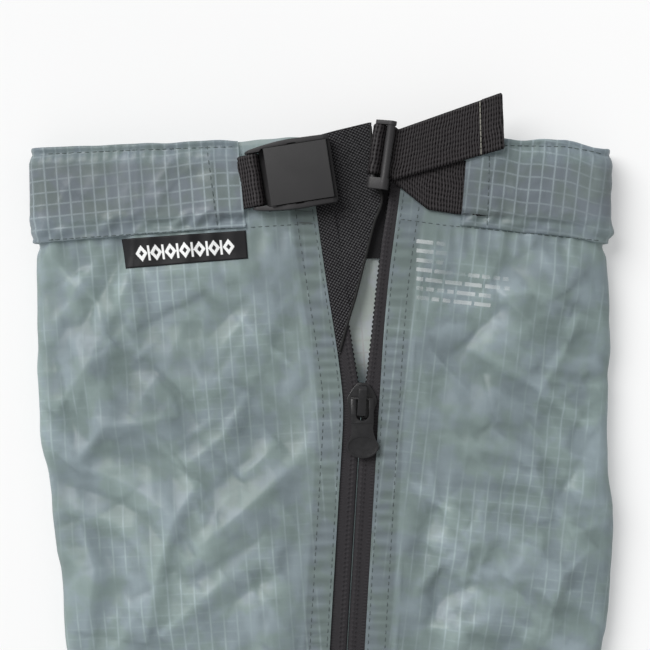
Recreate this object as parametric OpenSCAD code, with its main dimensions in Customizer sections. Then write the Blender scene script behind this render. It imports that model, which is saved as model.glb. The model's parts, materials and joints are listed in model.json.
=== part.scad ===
// Zip-front hiking gaiter, lying flat with its front up.
// X across the leg, +Y up the leg towards the cuff, +Z out of the front. Millimetres.
// The origin is the middle of the face that it lies on.
// d is the distance down the leg from the cuff's top edge.

/* [Gaiter body] */
// Length from the cuff's top edge to the hem
gaiter_l = 420; // [400:5:450]
// Y of the cuff's top edge
cuff_y = 207; // [200:1:215]
// Height of the flattened leg at the front zip, outside the fabric
crown_h = 19.4; // [19:0.1:20]
// Radius of the flattened leg's side folds
side_r = 6; // [5:0.5:6]
// Thickness of the shell fabric
shell_t = 0.6; // [0.4:0.1:0.7]

/* [Cuff and hem] */
// Height of the cuff's band
cuff_h = 35; // [30:1:40]
// Height of the hem's band
hem_h = 20; // [16:1:24]
// Clear depth of the tunnel that the cuff's strap runs in
tunnel_t = 1.9; // [1.8:0.1:2]
// Thickness of the band fabric
band_t = 0.8; // [0.6:0.1:0.8]
// Width of the strap's webbing
strap_w = 21; // [18:1:21]
// Thickness of the strap's webbing
strap_t = 1.3; // [1:0.1:1.4]

/* [Zip] */
// Lean of the zip from the leg's axis, in degrees
zip_lean = 3.39; // [3:0.01:4]
// Width of one zip tape
tape_w = 15; // [12:1:16]
// Thickness of a zip tape
tape_t = 0.6; // [0.4:0.1:0.6]
// Width of one coil
coil_w = 3; // [2.6:0.1:3]
// Height of the coil
coil_h = 2.2; // [2:0.1:2.2]
// Half width of the slot between the shells' edges over the closed zip
zip_slot = 7; // [6.5:0.1:8]
// Width of the slider across its shoulders
slider_w = 11.9; // [11:0.1:12]
// Length of the pull from its hinge
pull_l = 23.6; // [20:0.1:26]

/* [Buckle and ring] */
// Turn of the buckle from the leg's axis, in degrees
buckle_turn = 8.8; // [6:0.1:10]
// Length of the lever's plate along the strap
lever_l = 25.2; // [24:0.1:26]
// Width of the lever's plate
lever_w = 22.9; // [22:0.1:23]
// Width across the buckle's rails
buckle_w = 27; // [26.8:0.1:28]
// Lean of the adjuster ring from the leg's axis, in degrees
ring_lean = 7.9; // [5:0.1:10]
// Length of the adjuster ring
ring_l = 27.3; // [26.8:0.1:28]

/* [Lower fittings] */
// Radius of the hole in an instep eyelet
eyelet_r = 2.5; // [2:0.1:3]
// Width of the lace hook
hook_w = 7; // [6:0.5:8]

/* [Hidden] */
$fn = 48;
eps = 0.01;

// Side edges of the flattened leg: [d, x]
left_edge = [[0, -118], [35, -117.4], [66, -117], [101, -116.2], [125, -114.6],
  [148, -111], [165, -108.2], [183, -105.8], [201, -103.8], [300, -96], [420, -104], [460, -104]];
right_edge = [[0, 115.1], [35, 114.4], [66, 116.2], [125, 115.6], [148, 118],
  [183, 116.6], [201, 113.6], [300, 100], [420, 106], [460, 106]];
// Height of the leg's underside: the bands wrap under the shell at both ends
band_lift = tunnel_t + band_t;
underside = [[0, band_lift], [cuff_h + 2, band_lift], [cuff_h + 16, 0],
  [gaiter_l - hem_h - 14, 0], [gaiter_l - hem_h - 2, band_lift], [gaiter_l + 40, band_lift]];
// Distances down the leg at which the shell is shaped
stations = [0, 18, 35, 51, 66, 82, 92, 101, 110, 125, 148, 165, 183, 201, 232, 266, 300,
  340, gaiter_l - hem_h - 14, gaiter_l - hem_h, gaiter_l];
cuff_stations = [0, 18, cuff_h];
hem_stations = [gaiter_l - hem_h, gaiter_l - hem_h / 2, gaiter_l];

// The zip is open in a V down to the slider
slider_d = 101;
slider_x = 15.2;
zip_end = gaiter_l - 32;
zip_slope = tan(zip_lean);
// Front edges of the two shells above the slider, and below it the slot over the zip
left_front = [[0, -6.5], [26, -3.4], [48, 0], [82, 5.4], [103, 8]];
right_front = [[0, 32.8], [19, 30.7], [50, 26.1], [74, 23.8], [99, 22.4]];
// Inner edges of the two coils above the slider
left_teeth = [[3, 0.8], [26, 3.4], [48, 6.8], [82, 12.2], [100, 15.2]];
right_teeth = [[3, 27.8], [20, 25.6], [38, 22.6], [59, 20.3], [74, 18.8], [94, 16.5], [100, 15.3]];
coil_stations = [3, 15, 26, 38, 48, 59, 74, 82, 94, 100, 106, zip_end];
tape_stations = [-1, 15, 26, 38, 48, 59, 74, 82, 94, 100, 106, gaiter_l];

// Heights of what is stacked at the zip
tape_top = crown_h - shell_t - 0.25;
tape_low = tape_top - tape_t;
coil_low = tape_low - coil_h;
plate_low = coil_low - 1.3;
plate_top = tape_top + 1.3;
plate_t = 1;

// ---- The flattened leg's surface ----

function zip_x(d) = slider_x - zip_slope * (d - slider_d);
function left_front_x(d) = d < 103 ? lookup(d, left_front) : min(8, zip_x(d) - zip_slot);
function right_front_x(d) = d < 99 ? lookup(d, right_front) : min(22.4, zip_x(d) + zip_slot);
function left_teeth_x(d) = d < 100 ? lookup(d, left_teeth) : zip_x(d) - 0.05;
function right_teeth_x(d) = d < 100 ? lookup(d, right_teeth) : zip_x(d) + 0.05;
function low_z(d) = lookup(d, underside);
// Height of the front at x, where the front edge is at front_x and the side fold starts at fold_x
function dome(d, x, front_x, fold_x) = low_z(d) + 2 * side_r
  + (crown_h - low_z(d) - 2 * side_r) * (1 - pow((x - front_x) / (fold_x - front_x), 2));
function left_dome(d, x) = dome(d, x, left_front_x(d), lookup(d, left_edge) + side_r);
function right_dome(d, x) = dome(d, x, right_front_x(d), lookup(d, right_edge) - side_r);

// Points round one half of the leg, from x = top_x on its front to x = back_x on its back.
// side is -1 for the left half and 1 for the right; grow moves them outwards.
function half_round(d, side, top_x, back_x, grow) =
  let (fold_x = lookup(d, side < 0 ? left_edge : right_edge) - side * side_r,
       front_x = side < 0 ? left_front_x(d) : right_front_x(d),
       z0 = low_z(d), r = side_r + grow, y = cuff_y - d)
  concat(
    [for (i = [0:5]) let (x = top_x + (fold_x - top_x) * i / 5)
      [x, y, dome(d, x, front_x, fold_x) + grow]],
    [for (i = [1:5]) let (a = 90 - 30 * i)
      [fold_x + side * r * cos(a), y, z0 + side_r + r * sin(a)]],
    [for (i = [0:3]) [fold_x + (back_x - fold_x) * i / 3, y, z0 - grow]]);

function reversed(v) = [for (i = [len(v) - 1:-1:0]) v[i]];
// Points right round the leg, from x = left_x on its front to x = right_x on its front
function whole_round(d, left_x, right_x, grow) = concat(
  half_round(d, -1, left_x, 0, grow),
  [for (i = [1:14]) reversed(half_round(d, 1, right_x, 0, grow))[i]]);

// A closed sheet between two grids of points that have the same rows and columns
module sheet_solid(upper, lower) {
  rows = len(upper);
  cols = len(upper[0]);
  count = rows * cols;
  points = concat([for (row = upper) each row], [for (row = lower) each row]);
  function at(i, j) = i * cols + j;
  faces = concat(
    [for (i = [0:rows - 2], j = [0:cols - 2]) each [
      [at(i, j), at(i + 1, j), at(i, j + 1)],
      [at(i, j + 1), at(i + 1, j), at(i + 1, j + 1)],
      [count + at(i, j), count + at(i, j + 1), count + at(i + 1, j)],
      [count + at(i, j + 1), count + at(i + 1, j + 1), count + at(i + 1, j)]]],
    [for (i = [0:rows - 2]) each [
      [at(i, 0), count + at(i, 0), at(i + 1, 0)],
      [at(i + 1, 0), count + at(i, 0), count + at(i + 1, 0)],
      [at(i, cols - 1), at(i + 1, cols - 1), count + at(i, cols - 1)],
      [at(i + 1, cols - 1), count + at(i + 1, cols - 1), count + at(i, cols - 1)]]],
    [for (j = [0:cols - 2]) each [
      [at(0, j), at(0, j + 1), count + at(0, j)],
      [at(0, j + 1), count + at(0, j + 1), count + at(0, j)],
      [at(rows - 1, j), count + at(rows - 1, j), at(rows - 1, j + 1)],
      [at(rows - 1, j + 1), count + at(rows - 1, j), count + at(rows - 1, j + 1)]]]);
  polyhedron(points, faces);
}

// A flat bar between x = from_x and x = to_x at each station, from height z0 to z1
module flat_bar(ds, from_x, to_x, z0, z1) {
  sheet_solid([for (i = [0:len(ds) - 1]) [[from_x[i], cuff_y - ds[i], z1], [to_x[i], cuff_y - ds[i], z1]]],
    [for (i = [0:len(ds) - 1]) [[from_x[i], cuff_y - ds[i], z0], [to_x[i], cuff_y - ds[i], z0]]]);
}

// ---- Soft pieces ----

module left_shell() {
  color("#8c979a")
    sheet_solid([for (d = stations) half_round(d, -1, left_front_x(d), -eps, 0)],
      [for (d = stations) half_round(d, -1, left_front_x(d), -eps, -shell_t)]);
}

module right_shell() {
  color("#8c979a")
    sheet_solid([for (d = stations) reversed(half_round(d, 1, right_front_x(d), eps, 0))],
      [for (d = stations) reversed(half_round(d, 1, right_front_x(d), eps, -shell_t))]);
}

// Tape over the seam that joins the two shells down the back, on its inside
seam_tape_w = 12;
seam_tape_t = 0.5;
module back_seam_tape() {
  ds = [2, cuff_h + 2, cuff_h + 16, gaiter_l - hem_h - 14, gaiter_l - hem_h - 2, gaiter_l - 2];
  function row(d, z) = [[-seam_tape_w / 2, cuff_y - d, low_z(d) + z], [seam_tape_w / 2, cuff_y - d, low_z(d) + z]];
  color("#a7b3b3")
    sheet_solid([for (d = ds) row(d, shell_t + 0.05 + seam_tape_t)], [for (d = ds) row(d, shell_t + 0.05)]);
}

// Mouths of the cuff's tunnel, where the strap comes out: [d, x]
left_mouth = [[0, -34.4], [cuff_h, -31.2]];
right_mouth = [[0, 57.2], [cuff_h, 54.4]];
module cuff_band() {
  color("#787f82")
    sheet_solid(
      [for (d = cuff_stations) whole_round(d, lookup(d, left_mouth), lookup(d, right_mouth), band_lift)],
      [for (d = cuff_stations) whole_round(d, lookup(d, left_mouth), lookup(d, right_mouth), tunnel_t)]);
}

module hem_band() {
  color("#787f82")
    sheet_solid(
      [for (d = hem_stations) whole_round(d, left_front_x(d), right_front_x(d), band_lift)],
      [for (d = hem_stations) whole_round(d, left_front_x(d), right_front_x(d), tunnel_t)]);
}

// Elastic that draws the hem in round the boot
elastic_w = 14;
module hem_elastic() {
  ds = [gaiter_l - hem_h / 2 - elastic_w / 2, gaiter_l - hem_h / 2, gaiter_l - hem_h / 2 + elastic_w / 2];
  color("#f0f0ec")
    sheet_solid([for (d = ds) whole_round(d, left_front_x(d) - 2, right_front_x(d) + 2, 1.5)],
      [for (d = ds) whole_round(d, left_front_x(d) - 2, right_front_x(d) + 2, 0.3)]);
}

// The strap's hidden run inside the cuff's tunnel, between its two mouths
strap_d = 17;
module cuff_strap() {
  ds = [strap_d - strap_w / 2, strap_d, strap_d + strap_w / 2];
  color("#323032")
    sheet_solid([for (d = ds) whole_round(d, -31, 54.5, 0.2 + strap_t)],
      [for (d = ds) whole_round(d, -31, 54.5, 0.2)]);
}

// Puts children in the buckle's own frame: X along the strap, Y across it, Z as the leg's
module at_buckle() {
  translate([-10, cuff_y - 11, 0]) rotate([0, 0, buckle_turn]) children();
}
// An outline drawn in [along, height] and given a width across the strap, about y = 0
module across(w) {
  rotate([90, 0, 0]) translate([0, 0, -w / 2]) linear_extrude(w) children();
}
module crossbar(x, z, r, w) {
  translate([x, 0, z]) rotate([90, 0, 0]) cylinder(r = r, h = w, center = true);
}

anchor_x = -17.5;
anchor_z = 22.9;
anchor_r = 1.5;
fit_gap = 0.05;
// The end of the strap that is sewn round the buckle's anchor bar
module buckle_loop() {
  low = crown_h + 0.15;
  mouth_x = anchor_x - 4.8;
  color("#323032") at_buckle() difference() {
    union() {
      crossbar(anchor_x, anchor_z, anchor_r + strap_t, strap_w);
      across(strap_w)
        polygon([[mouth_x, low], [anchor_x, anchor_z - anchor_r - strap_t],
          [anchor_x, anchor_z - anchor_r - 0.3], [anchor_x - 2.6, anchor_z], [mouth_x, low + strap_t]]);
    }
    crossbar(anchor_x, anchor_z, anchor_r + fit_gap, strap_w + 1);
  }
}

// Puts children in the ring's own frame: Y along its bars
ring_x = 25.1;
ring_y = cuff_y - 3.9;
module at_ring() {
  translate([ring_x, ring_y, 0]) rotate([0, 0, -ring_lean]) children();
}
function from_ring(x, y) = [ring_x + x * cos(ring_lean) + y * sin(ring_lean),
  ring_y - x * sin(ring_lean) + y * cos(ring_lean)];

// The strap runs through the ring above its middle
strap_v = 1.95;
ring_bar_x = -4.6;
ring_bar_z = 23.2;
ring_bar_r = 1.1;
run_low = crown_h + 0.2;
tail_low = 21.6;
// The strap from the right mouth to the ring, round the ring's bar and out to its free tail
module strap_tail() {
  start_x = ring_bar_x + 1.4;
  half = strap_w / 2 - 0.6;
  top_v = strap_v + half;
  low_v = strap_v - half;
  lower = [from_ring(start_x, top_v), [54, cuff_y - 5.5], [54, cuff_y - 26.5], from_ring(start_x, low_v)];
  tail = [from_ring(start_x, top_v), [29.3, cuff_y + 6.7], [69.2, cuff_y + 20.8], [70.6, cuff_y - 1.4],
    [27.6, cuff_y - 13.4], from_ring(start_x, low_v)];
  turned_end = [[62, cuff_y + 18.2], [69.2, cuff_y + 20.8], [70.6, cuff_y - 1.4], [62.4, cuff_y - 3.7]];
  color("#323032") {
    at_ring() translate([0, strap_v, 0]) difference() {
      crossbar(ring_bar_x, ring_bar_z, ring_bar_r + fit_gap + strap_t, 2 * half);
      crossbar(ring_bar_x, ring_bar_z, ring_bar_r + fit_gap, strap_w + 1);
    }
    translate([0, 0, run_low]) linear_extrude(strap_t) polygon(lower);
    // The two runs meet where they enter the loop round the bar
    translate([0, 0, run_low + strap_t - eps]) linear_extrude(tail_low - run_low - strap_t + 2 * eps)
      polygon([from_ring(start_x, top_v), from_ring(start_x + 0.8, top_v),
        from_ring(start_x + 0.8, low_v), from_ring(start_x, low_v)]);
    translate([0, 0, tail_low]) linear_extrude(strap_t) polygon(tail);
    translate([0, 0, tail_low + strap_t - eps]) linear_extrude(strap_t) polygon(turned_end);
  }
}

// Three-cornered panel across the open zip, sewn over the left tape
module storm_gusset() {
  gap = 0.05;
  shell_side = [for (d = [-3.6, 0, 26, 48, 82]) [left_front_x(d) + gap, d]];
  free_side = [[6.2, 83.5], [9, 73.2], [10.8, 67], [12.7, 61], [20, 32], [20.8, 20], [19, -8],
    [17.9, -9.9], [4.4, -6.6]];
  color("#333335") translate([0, 0, tape_top + gap]) linear_extrude(0.6)
    polygon([for (p = concat(shell_side, free_side)) [p[0], cuff_y - p[1]]]);
}

// ---- Zip ----

tape_gap = 1.2;
module left_zip_tape() {
  color("#3c3c3e") flat_bar(tape_stations, [for (d = tape_stations) left_teeth_x(d) - tape_gap - tape_w],
    [for (d = tape_stations) left_teeth_x(d) - tape_gap], tape_low, tape_top);
}

module right_zip_tape() {
  color("#3c3c3e") flat_bar(tape_stations, [for (d = tape_stations) right_teeth_x(d) + tape_gap],
    [for (d = tape_stations) right_teeth_x(d) + tape_gap + tape_w], tape_low, tape_top);
}

module left_zip_coil() {
  color("#2b2b2d") flat_bar(coil_stations, [for (d = coil_stations) left_teeth_x(d) - coil_w],
    [for (d = coil_stations) left_teeth_x(d)], coil_low, tape_low);
}

module right_zip_coil() {
  color("#2b2b2d") flat_bar(coil_stations, [for (d = coil_stations) right_teeth_x(d)],
    [for (d = coil_stations) right_teeth_x(d) + coil_w], coil_low, tape_low);
}

stop_l = 2.6;
module zip_top_stops() {
  top = 3;
  for (x = [left_teeth_x(top) - coil_w, right_teeth_x(top)])
    color("#29292b") translate([x, cuff_y - top + 0.1, coil_low]) cube([coil_w, stop_l, coil_h]);
}

// Puts children in the zip's own frame: Y up its axis, from the middle of the slider
module at_zip(d = slider_d) {
  translate([zip_x(d), cuff_y - d, 0]) rotate([0, 0, -zip_lean]) children();
}

module zip_bottom_stop() {
  color("#29292b") at_zip(zip_end + 0.4) translate([-coil_w - 0.4, -4, coil_low]) cube([2 * coil_w + 0.8, 4, coil_h]);
}

slider_top = 6.6;
slider_end = -7.2;
wedge_w = 0.7;
flange_t = 0.9;
module slider_outline() {
  half = [[2, slider_top], [3.3, 5.1], [4.4, 3.5], [5.3, 1.9], [slider_w / 2, 0.2], [slider_w / 2, -0.8],
    [4.25, slider_end]];
  polygon(concat(half, [for (p = reversed(half)) [-p[0], p[1]]]));
}
module slider_channel() {
  half = [[slider_w / 2 - flange_t, slider_top + 1], [slider_w / 2 - flange_t, -0.8],
    [4.25 - flange_t, slider_end - 0.5]];
  polygon(concat(half, [for (p = reversed(half)) [-p[0], p[1]]]));
}
module slider_body() {
  color("#343436") at_zip() {
    translate([0, 0, plate_low]) linear_extrude(plate_t) slider_outline();
    translate([0, 0, plate_low]) linear_extrude(tape_low - 0.4 - plate_low) difference() {
      slider_outline();
      slider_channel();
    }
    translate([0, 0, tape_top + 0.3]) linear_extrude(plate_t) slider_outline();
    // The wedge that parts the two coils joins the plates
    translate([-wedge_w / 2, slider_top - 1.6, plate_low]) cube([wedge_w, 1.2, tape_top + 1 - plate_low]);
  }
}

cap_w = 3.3;
cap_t = 0.7;
cap_top = 3.7;
pull_bar_y = 0.3;
pull_bar_z = plate_top + 1.35;
module slider_cap() {
  z0 = plate_top + eps;
  color("#3a3a3c") at_zip() rotate([0, 0, 90]) across(cap_w) difference() {
    polygon([[slider_top - 0.8, z0], [slider_top - 1.2, z0 + cap_top - 0.9], [slider_top - 2.4, z0 + cap_top],
      [-5, z0 + cap_top], [-6.4, z0 + cap_top - 0.8], [-6.9, z0]]);
    polygon([[slider_top - 0.8 - cap_t, z0 - 1], [slider_top - 1.2 - cap_t, z0 + cap_top - 1.2],
      [slider_top - 2.6, z0 + cap_top - cap_t], [-4.8, z0 + cap_top - cap_t],
      [-6.4 + cap_t, z0 + cap_top - 1.1], [-6.9 + cap_t, z0 - 1]]);
  }
}

// Leaf that drops its pin between the coils when the pull lies down
module slider_lock_spring() {
  z = plate_top + cap_top - cap_t - 0.4;
  color("#b8b8ba") at_zip() rotate([0, 0, 90]) across(1.8)
    polygon([[3.4, z], [3.4, z + 0.3], [-4.6, z + 0.3], [-4.6, plate_top + 0.1], [-4.3, plate_top + 0.1], [-4.3, z]]);
}

pull_t = 1.4;
pull_w = 9;
pull_oval_w = 12.8;
pull_oval_l = 9.2;
pull_rim = 0.65;
pull_step = 0.25;
// The pull hangs a little askew of the zip
pull_skew = 4;
module pull_tab() {
  slot_r = 2.62;
  slot_end = 8.7;
  step_y = -9.7;
  oval_y = -pull_l + pull_oval_l / 2;
  neck = [[pull_w / 2, 0], [pull_w / 2, -9.8], [4.2, -11.5], [4.4, -13.6], [5.1, -15.8], [5.9, -17.6], [6.2, oval_y]];
  color("#343436") at_zip() translate([0, pull_bar_y, pull_bar_z]) {
    rotate([0, 0, pull_skew]) difference() {
      union() {
        translate([0, 0, -pull_t / 2]) linear_extrude(pull_t) {
          polygon(concat(neck, [for (p = reversed(neck)) [-p[0], p[1]]]));
          translate([0, oval_y]) oval(0);
        }
        // The upper neck is thicker, down to a step
        translate([-pull_w / 2, step_y, 0]) cube([pull_w, -step_y, pull_t / 2 + pull_step]);
      }
      // Slot that the cap stands in
      translate([0, slot_r - slot_end, -5]) cylinder(r = slot_r, h = 10);
      translate([-slot_r, slot_r - slot_end, -5]) cube([2 * slot_r, 20, 10]);
      // Dished middle of the broad end
      translate([0, oval_y, pull_t / 2 - 0.35]) linear_extrude(2) oval(pull_rim);
    }
    // The bar that the slider's cap holds down
    rotate([0, 90, 0]) cylinder(r = pull_t / 2, h = pull_w, center = true);
  }
}
// The pull's broad end, drawn in by inset
module oval(inset) {
  scale([pull_oval_w / 2 - inset, pull_oval_l / 2 - inset]) circle(r = 1);
}

// ---- Cam buckle ----

rail_t = 1.75;
lever_x = -9.4;
lever_z = 25.2;
lever_pin_r = 1.3;
rim_x = 14;
floor_x = -14;
frame_low = 20.4;
nose_r = 2.7;
nose_y = 10.8;
// A rail from above: bowed outwards beside the lever, and drawn in towards its nose
module rail_plan(side) {
  inner = (buckle_w - 2 * rail_t) / 2;
  outer = buckle_w / 2;
  polygon([for (p = [[-20.2, nose_y], [-14.4, nose_y], [-13.3, inner], [rim_x, inner],
    [rim_x, outer - 1.2], [rim_x - 1, outer], [-2, outer + 0.3], [-8, outer], [-14, outer - 0.7],
    [-18.6, outer - 1.5], [-20.2, outer - 2.1]]) [p[0], side * p[1]]]);
}
module buckle_frame() {
  color("#474649") at_buckle() difference() {
    union() {
      for (side = [-1, 1]) intersection() {
        union() {
          crossbar(anchor_x, anchor_z, nose_r, buckle_w + 4);
          across(buckle_w + 4)
            polygon([[anchor_x, anchor_z - nose_r], [anchor_x + 2, frame_low], [rim_x, frame_low],
              [rim_x, 25], [rim_x - 2.2, 27.4], [-6, 27.6], [anchor_x, anchor_z + nose_r]]);
        }
        linear_extrude(40) rail_plan(side);
      }
      crossbar(anchor_x, anchor_z, anchor_r, 2 * nose_y + 1.4);
      // Floor that the cam pinches the strap against, and the rim across its far end
      translate([floor_x, -buckle_w / 2 + 0.5, frame_low]) cube([rim_x - 1 - floor_x, buckle_w - 1, 1.2]);
      translate([floor_x - 0.8, -nose_y - 1, frame_low]) cube([2, 2 * nose_y + 2, 1.2]);
      translate([rim_x - 1.1, -buckle_w / 2 + 0.9, frame_low]) cube([1.1, buckle_w - 1.8, 3.6]);
    }
    crossbar(lever_x, lever_z, lever_pin_r + fit_gap, buckle_w + 1);
    // Notches in the rails' inner edges beside the lever
    for (side = [-1, 1]) translate([-2.9, side * (lever_w / 2 + 0.35) - 0.4, 26.4]) cube([3.4, 0.8, 3]);
  }
}

module buckle_lever() {
  plate_z = 26.5;
  plate_h = 1.9;
  color("#424244") at_buckle() {
    across(lever_w)
      polygon([[-lever_l / 2, plate_z], [lever_l / 2, plate_z], [lever_l / 2, plate_z + plate_h - 0.3],
        [lever_l / 2 - 0.3, plate_z + plate_h], [-lever_l / 2 + 0.3, plate_z + plate_h],
        [-lever_l / 2, plate_z + plate_h - 0.3]]);
    // The cam under the plate, with the pin through it
    across(lever_w - 3)
      polygon([[-11.4, plate_z + eps], [-10.6, 23.6], [-8.6, 22.6], [-6.6, 22.4], [-4.6, 23.2], [-3, plate_z + eps]]);
    crossbar(lever_x, lever_z, lever_pin_r, buckle_w - 0.4);
  }
}

grip_x = 0;
grip_z = 25.1;
grip_r = 1.65;
module adjuster_ring() {
  color("#474649") at_ring() {
    crossbar(grip_x, grip_z, grip_r, ring_l);
    crossbar(ring_bar_x, ring_bar_z, ring_bar_r, ring_l);
    // Thin upper end and long rounded lower end: [side, length, radius at the grip, radius at the bar]
    for (end = [[1, 1.6, 2, 1.65], [-1, 4.4, 2.1, 1.9]])
      translate([0, end[0] * (ring_l - end[1]) / 2, 0]) {
        crossbar(grip_x, grip_z, end[2], end[1]);
        crossbar(ring_bar_x, ring_bar_z, end[3], end[1]);
        across(end[1])
          polygon([[grip_x - 0.4, grip_z + end[2] - 0.1], [grip_x + 0.6, grip_z - end[2] + 0.1],
            [ring_bar_x + 0.4, ring_bar_z - end[3] + 0.1], [ring_bar_x - 0.6, ring_bar_z + end[3] - 0.1]]);
      }
  }
}

// ---- Label, lace hook and instep eyelets ----

label_t = 0.5;
module woven_label() {
  // Corners from the top left, in turn: [x, d]
  corners = [[-81.5, 36.7], [-31.3, 33.3], [-30.4, 44.6], [-79.6, 48.6]];
  drop = cuff_h + 1 - corners[1][1];
  function spot(i, j) = let (top = corners[0] + (corners[1] - corners[0]) * j / 8,
    low = corners[3] + (corners[2] - corners[3]) * j / 8) top + (low - top) * i + [0, drop];
  function row(i, z) = [for (j = [0:8]) let (p = spot(i, j)) [p[0], cuff_y - p[1], left_dome(p[1], p[0]) + z]];
  color("#1e2022") sheet_solid([for (i = [0, 0.5, 1]) row(i, 0.3 + label_t)], [for (i = [0, 0.5, 1]) row(i, 0.3)]);
}

hook_y = -11;
hook_bar_r = 1;
hook_z = crown_h + 1.3;
hook_base_d = gaiter_l - 8;
hook_tab_w = 10;
// Webbing loop at the bottom of the zip that holds the lace hook
module hook_tab() {
  low = crown_h + 0.1;
  color("#323032") at_zip(hook_base_d) rotate([0, 0, 90]) difference() {
    union() {
      across(hook_tab_w) polygon([[9, low], [9, low + 1.3], [hook_y + 1, hook_z + 0.9], [hook_y + 1, hook_z - 1.2]]);
      crossbar(hook_y, hook_z, hook_bar_r + fit_gap + 1.1, hook_tab_w);
    }
    crossbar(hook_y, hook_z, hook_bar_r + fit_gap, hook_tab_w + 1);
  }
}

module lace_hook() {
  wire = 1.2;
  gap = 2.4;
  color("#9a9c9e") at_zip(hook_base_d) rotate([0, 0, 90]) {
    crossbar(hook_y, hook_z, hook_bar_r, hook_tab_w + 3.4);
    for (side = [-1, 1]) translate([0, side * (hook_tab_w / 2 + 1.1), 0]) across(1.2)
      polygon([[hook_y + 1, hook_z - wire / 2], [hook_y + 1, hook_z + wire / 2],
        [hook_y - 4.6, hook_z + wire / 2], [hook_y - 4.6, hook_z - wire / 2]]);
    translate([hook_y - 4.6, -hook_tab_w / 2 - 1.7, hook_z - wire / 2]) cube([1.4, hook_tab_w + 3.4, wire]);
    // The hook's flat run and its turned-back point
    across(hook_w) {
      polygon([[hook_y - 3.6, hook_z + wire / 2], [hook_y - 3.6, hook_z - wire / 2],
        [hook_y - 7.5, hook_z - wire / 2], [hook_y - 7.5, hook_z + wire / 2]]);
      difference() {
        translate([hook_y - 7.5, hook_z - (gap + wire) / 2]) circle(r = gap / 2 + wire);
        translate([hook_y - 7.5, hook_z - (gap + wire) / 2]) circle(r = gap / 2);
        translate([hook_y - 7.5, hook_z - 10]) square([10, 20]);
      }
      translate([hook_y - 7.6, hook_z - gap - 1.5 * wire]) square([4, wire]);
    }
  }
}

instep_x = [-88, 90];
instep_y = cuff_y - gaiter_l - 8.6;
tab_low = band_lift + shell_t + 0.1;
tab_t = 1.3;
module instep_tab(x) {
  color("#323032") translate([x, instep_y, tab_low]) linear_extrude(tab_t) difference() {
    union() {
      circle(r = 6.6);
      translate([-6.6, 0]) square([13.2, 24]);
    }
    circle(r = eyelet_r + 0.65);
  }
}
module eyelet(x) {
  barrel_t = 0.6;
  flange_r = eyelet_r + 2.3;
  half = tab_t / 2 + 0.55;
  color("#77797b") translate([x, instep_y, tab_low + tab_t / 2]) rotate_extrude()
    polygon([[eyelet_r, -half], [eyelet_r, half], [flange_r - 0.4, half], [flange_r, half - 0.45],
      [eyelet_r + barrel_t, half - 0.5], [eyelet_r + barrel_t, -half + 0.5], [flange_r, -half + 0.45],
      [flange_r - 0.4, -half]]);
}
module left_instep_tab() { instep_tab(instep_x[0]); }
module right_instep_tab() { instep_tab(instep_x[1]); }
module left_eyelet() { eyelet(instep_x[0]); }
module right_eyelet() { eyelet(instep_x[1]); }

left_shell();
right_shell();
back_seam_tape();
cuff_band();
hem_band();
hem_elastic();
cuff_strap();
buckle_loop();
strap_tail();
storm_gusset();
left_zip_tape();
right_zip_tape();
left_zip_coil();
right_zip_coil();
zip_top_stops();
zip_bottom_stop();
slider_body();
slider_cap();
slider_lock_spring();
pull_tab();
buckle_frame();
buckle_lever();
adjuster_ring();
woven_label();
hook_tab();
lace_hook();
left_instep_tab();
right_instep_tab();
left_eyelet();
right_eyelet();
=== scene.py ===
import json
import math

import bpy
import numpy as np
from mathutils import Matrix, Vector
from mathutils.bvhtree import BVHTree


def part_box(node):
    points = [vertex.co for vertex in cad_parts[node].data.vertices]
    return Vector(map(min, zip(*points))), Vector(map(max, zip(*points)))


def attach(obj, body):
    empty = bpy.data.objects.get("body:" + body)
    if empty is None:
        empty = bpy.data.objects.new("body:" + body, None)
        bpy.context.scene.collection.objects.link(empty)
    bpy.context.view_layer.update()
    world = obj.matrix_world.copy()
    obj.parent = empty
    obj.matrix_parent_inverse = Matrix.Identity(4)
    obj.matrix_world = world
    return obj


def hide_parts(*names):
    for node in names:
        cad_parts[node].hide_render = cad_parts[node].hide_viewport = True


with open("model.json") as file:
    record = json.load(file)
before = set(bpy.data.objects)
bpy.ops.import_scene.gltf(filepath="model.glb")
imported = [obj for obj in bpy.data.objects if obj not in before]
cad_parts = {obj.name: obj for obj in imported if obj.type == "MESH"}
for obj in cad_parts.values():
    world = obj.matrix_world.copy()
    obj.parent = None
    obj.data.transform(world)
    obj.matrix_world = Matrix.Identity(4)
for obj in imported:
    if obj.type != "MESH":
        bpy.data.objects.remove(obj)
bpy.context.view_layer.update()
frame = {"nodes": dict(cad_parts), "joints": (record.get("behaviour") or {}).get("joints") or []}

# A zip-front gaiter lying flat. Lengths here are millimetres, made metres as each mesh is built.
# x runs across the leg and z out of its front; d is the distance down the leg from the cuff's top edge.
MM = 0.001


# ---- What the CAD model says ----

def node_points(name):
    return np.array([v.co for v in frame["nodes"][name].data.vertices]) / MM


def along_leg(name, pick):
    """(distances down the leg, pick of the node's points there), for each row of the node's points."""
    points = node_points(name)
    rows = np.unique(np.round(points[:, 1], 2))[::-1]
    values = [pick(points[np.abs(points[:, 1] - row) < 0.05]) for row in rows]
    return CUFF_Y - rows, np.array(values)


def box_mm(name):
    low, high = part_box(name)
    return np.array(low) / MM, np.array(high) / MM


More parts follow.
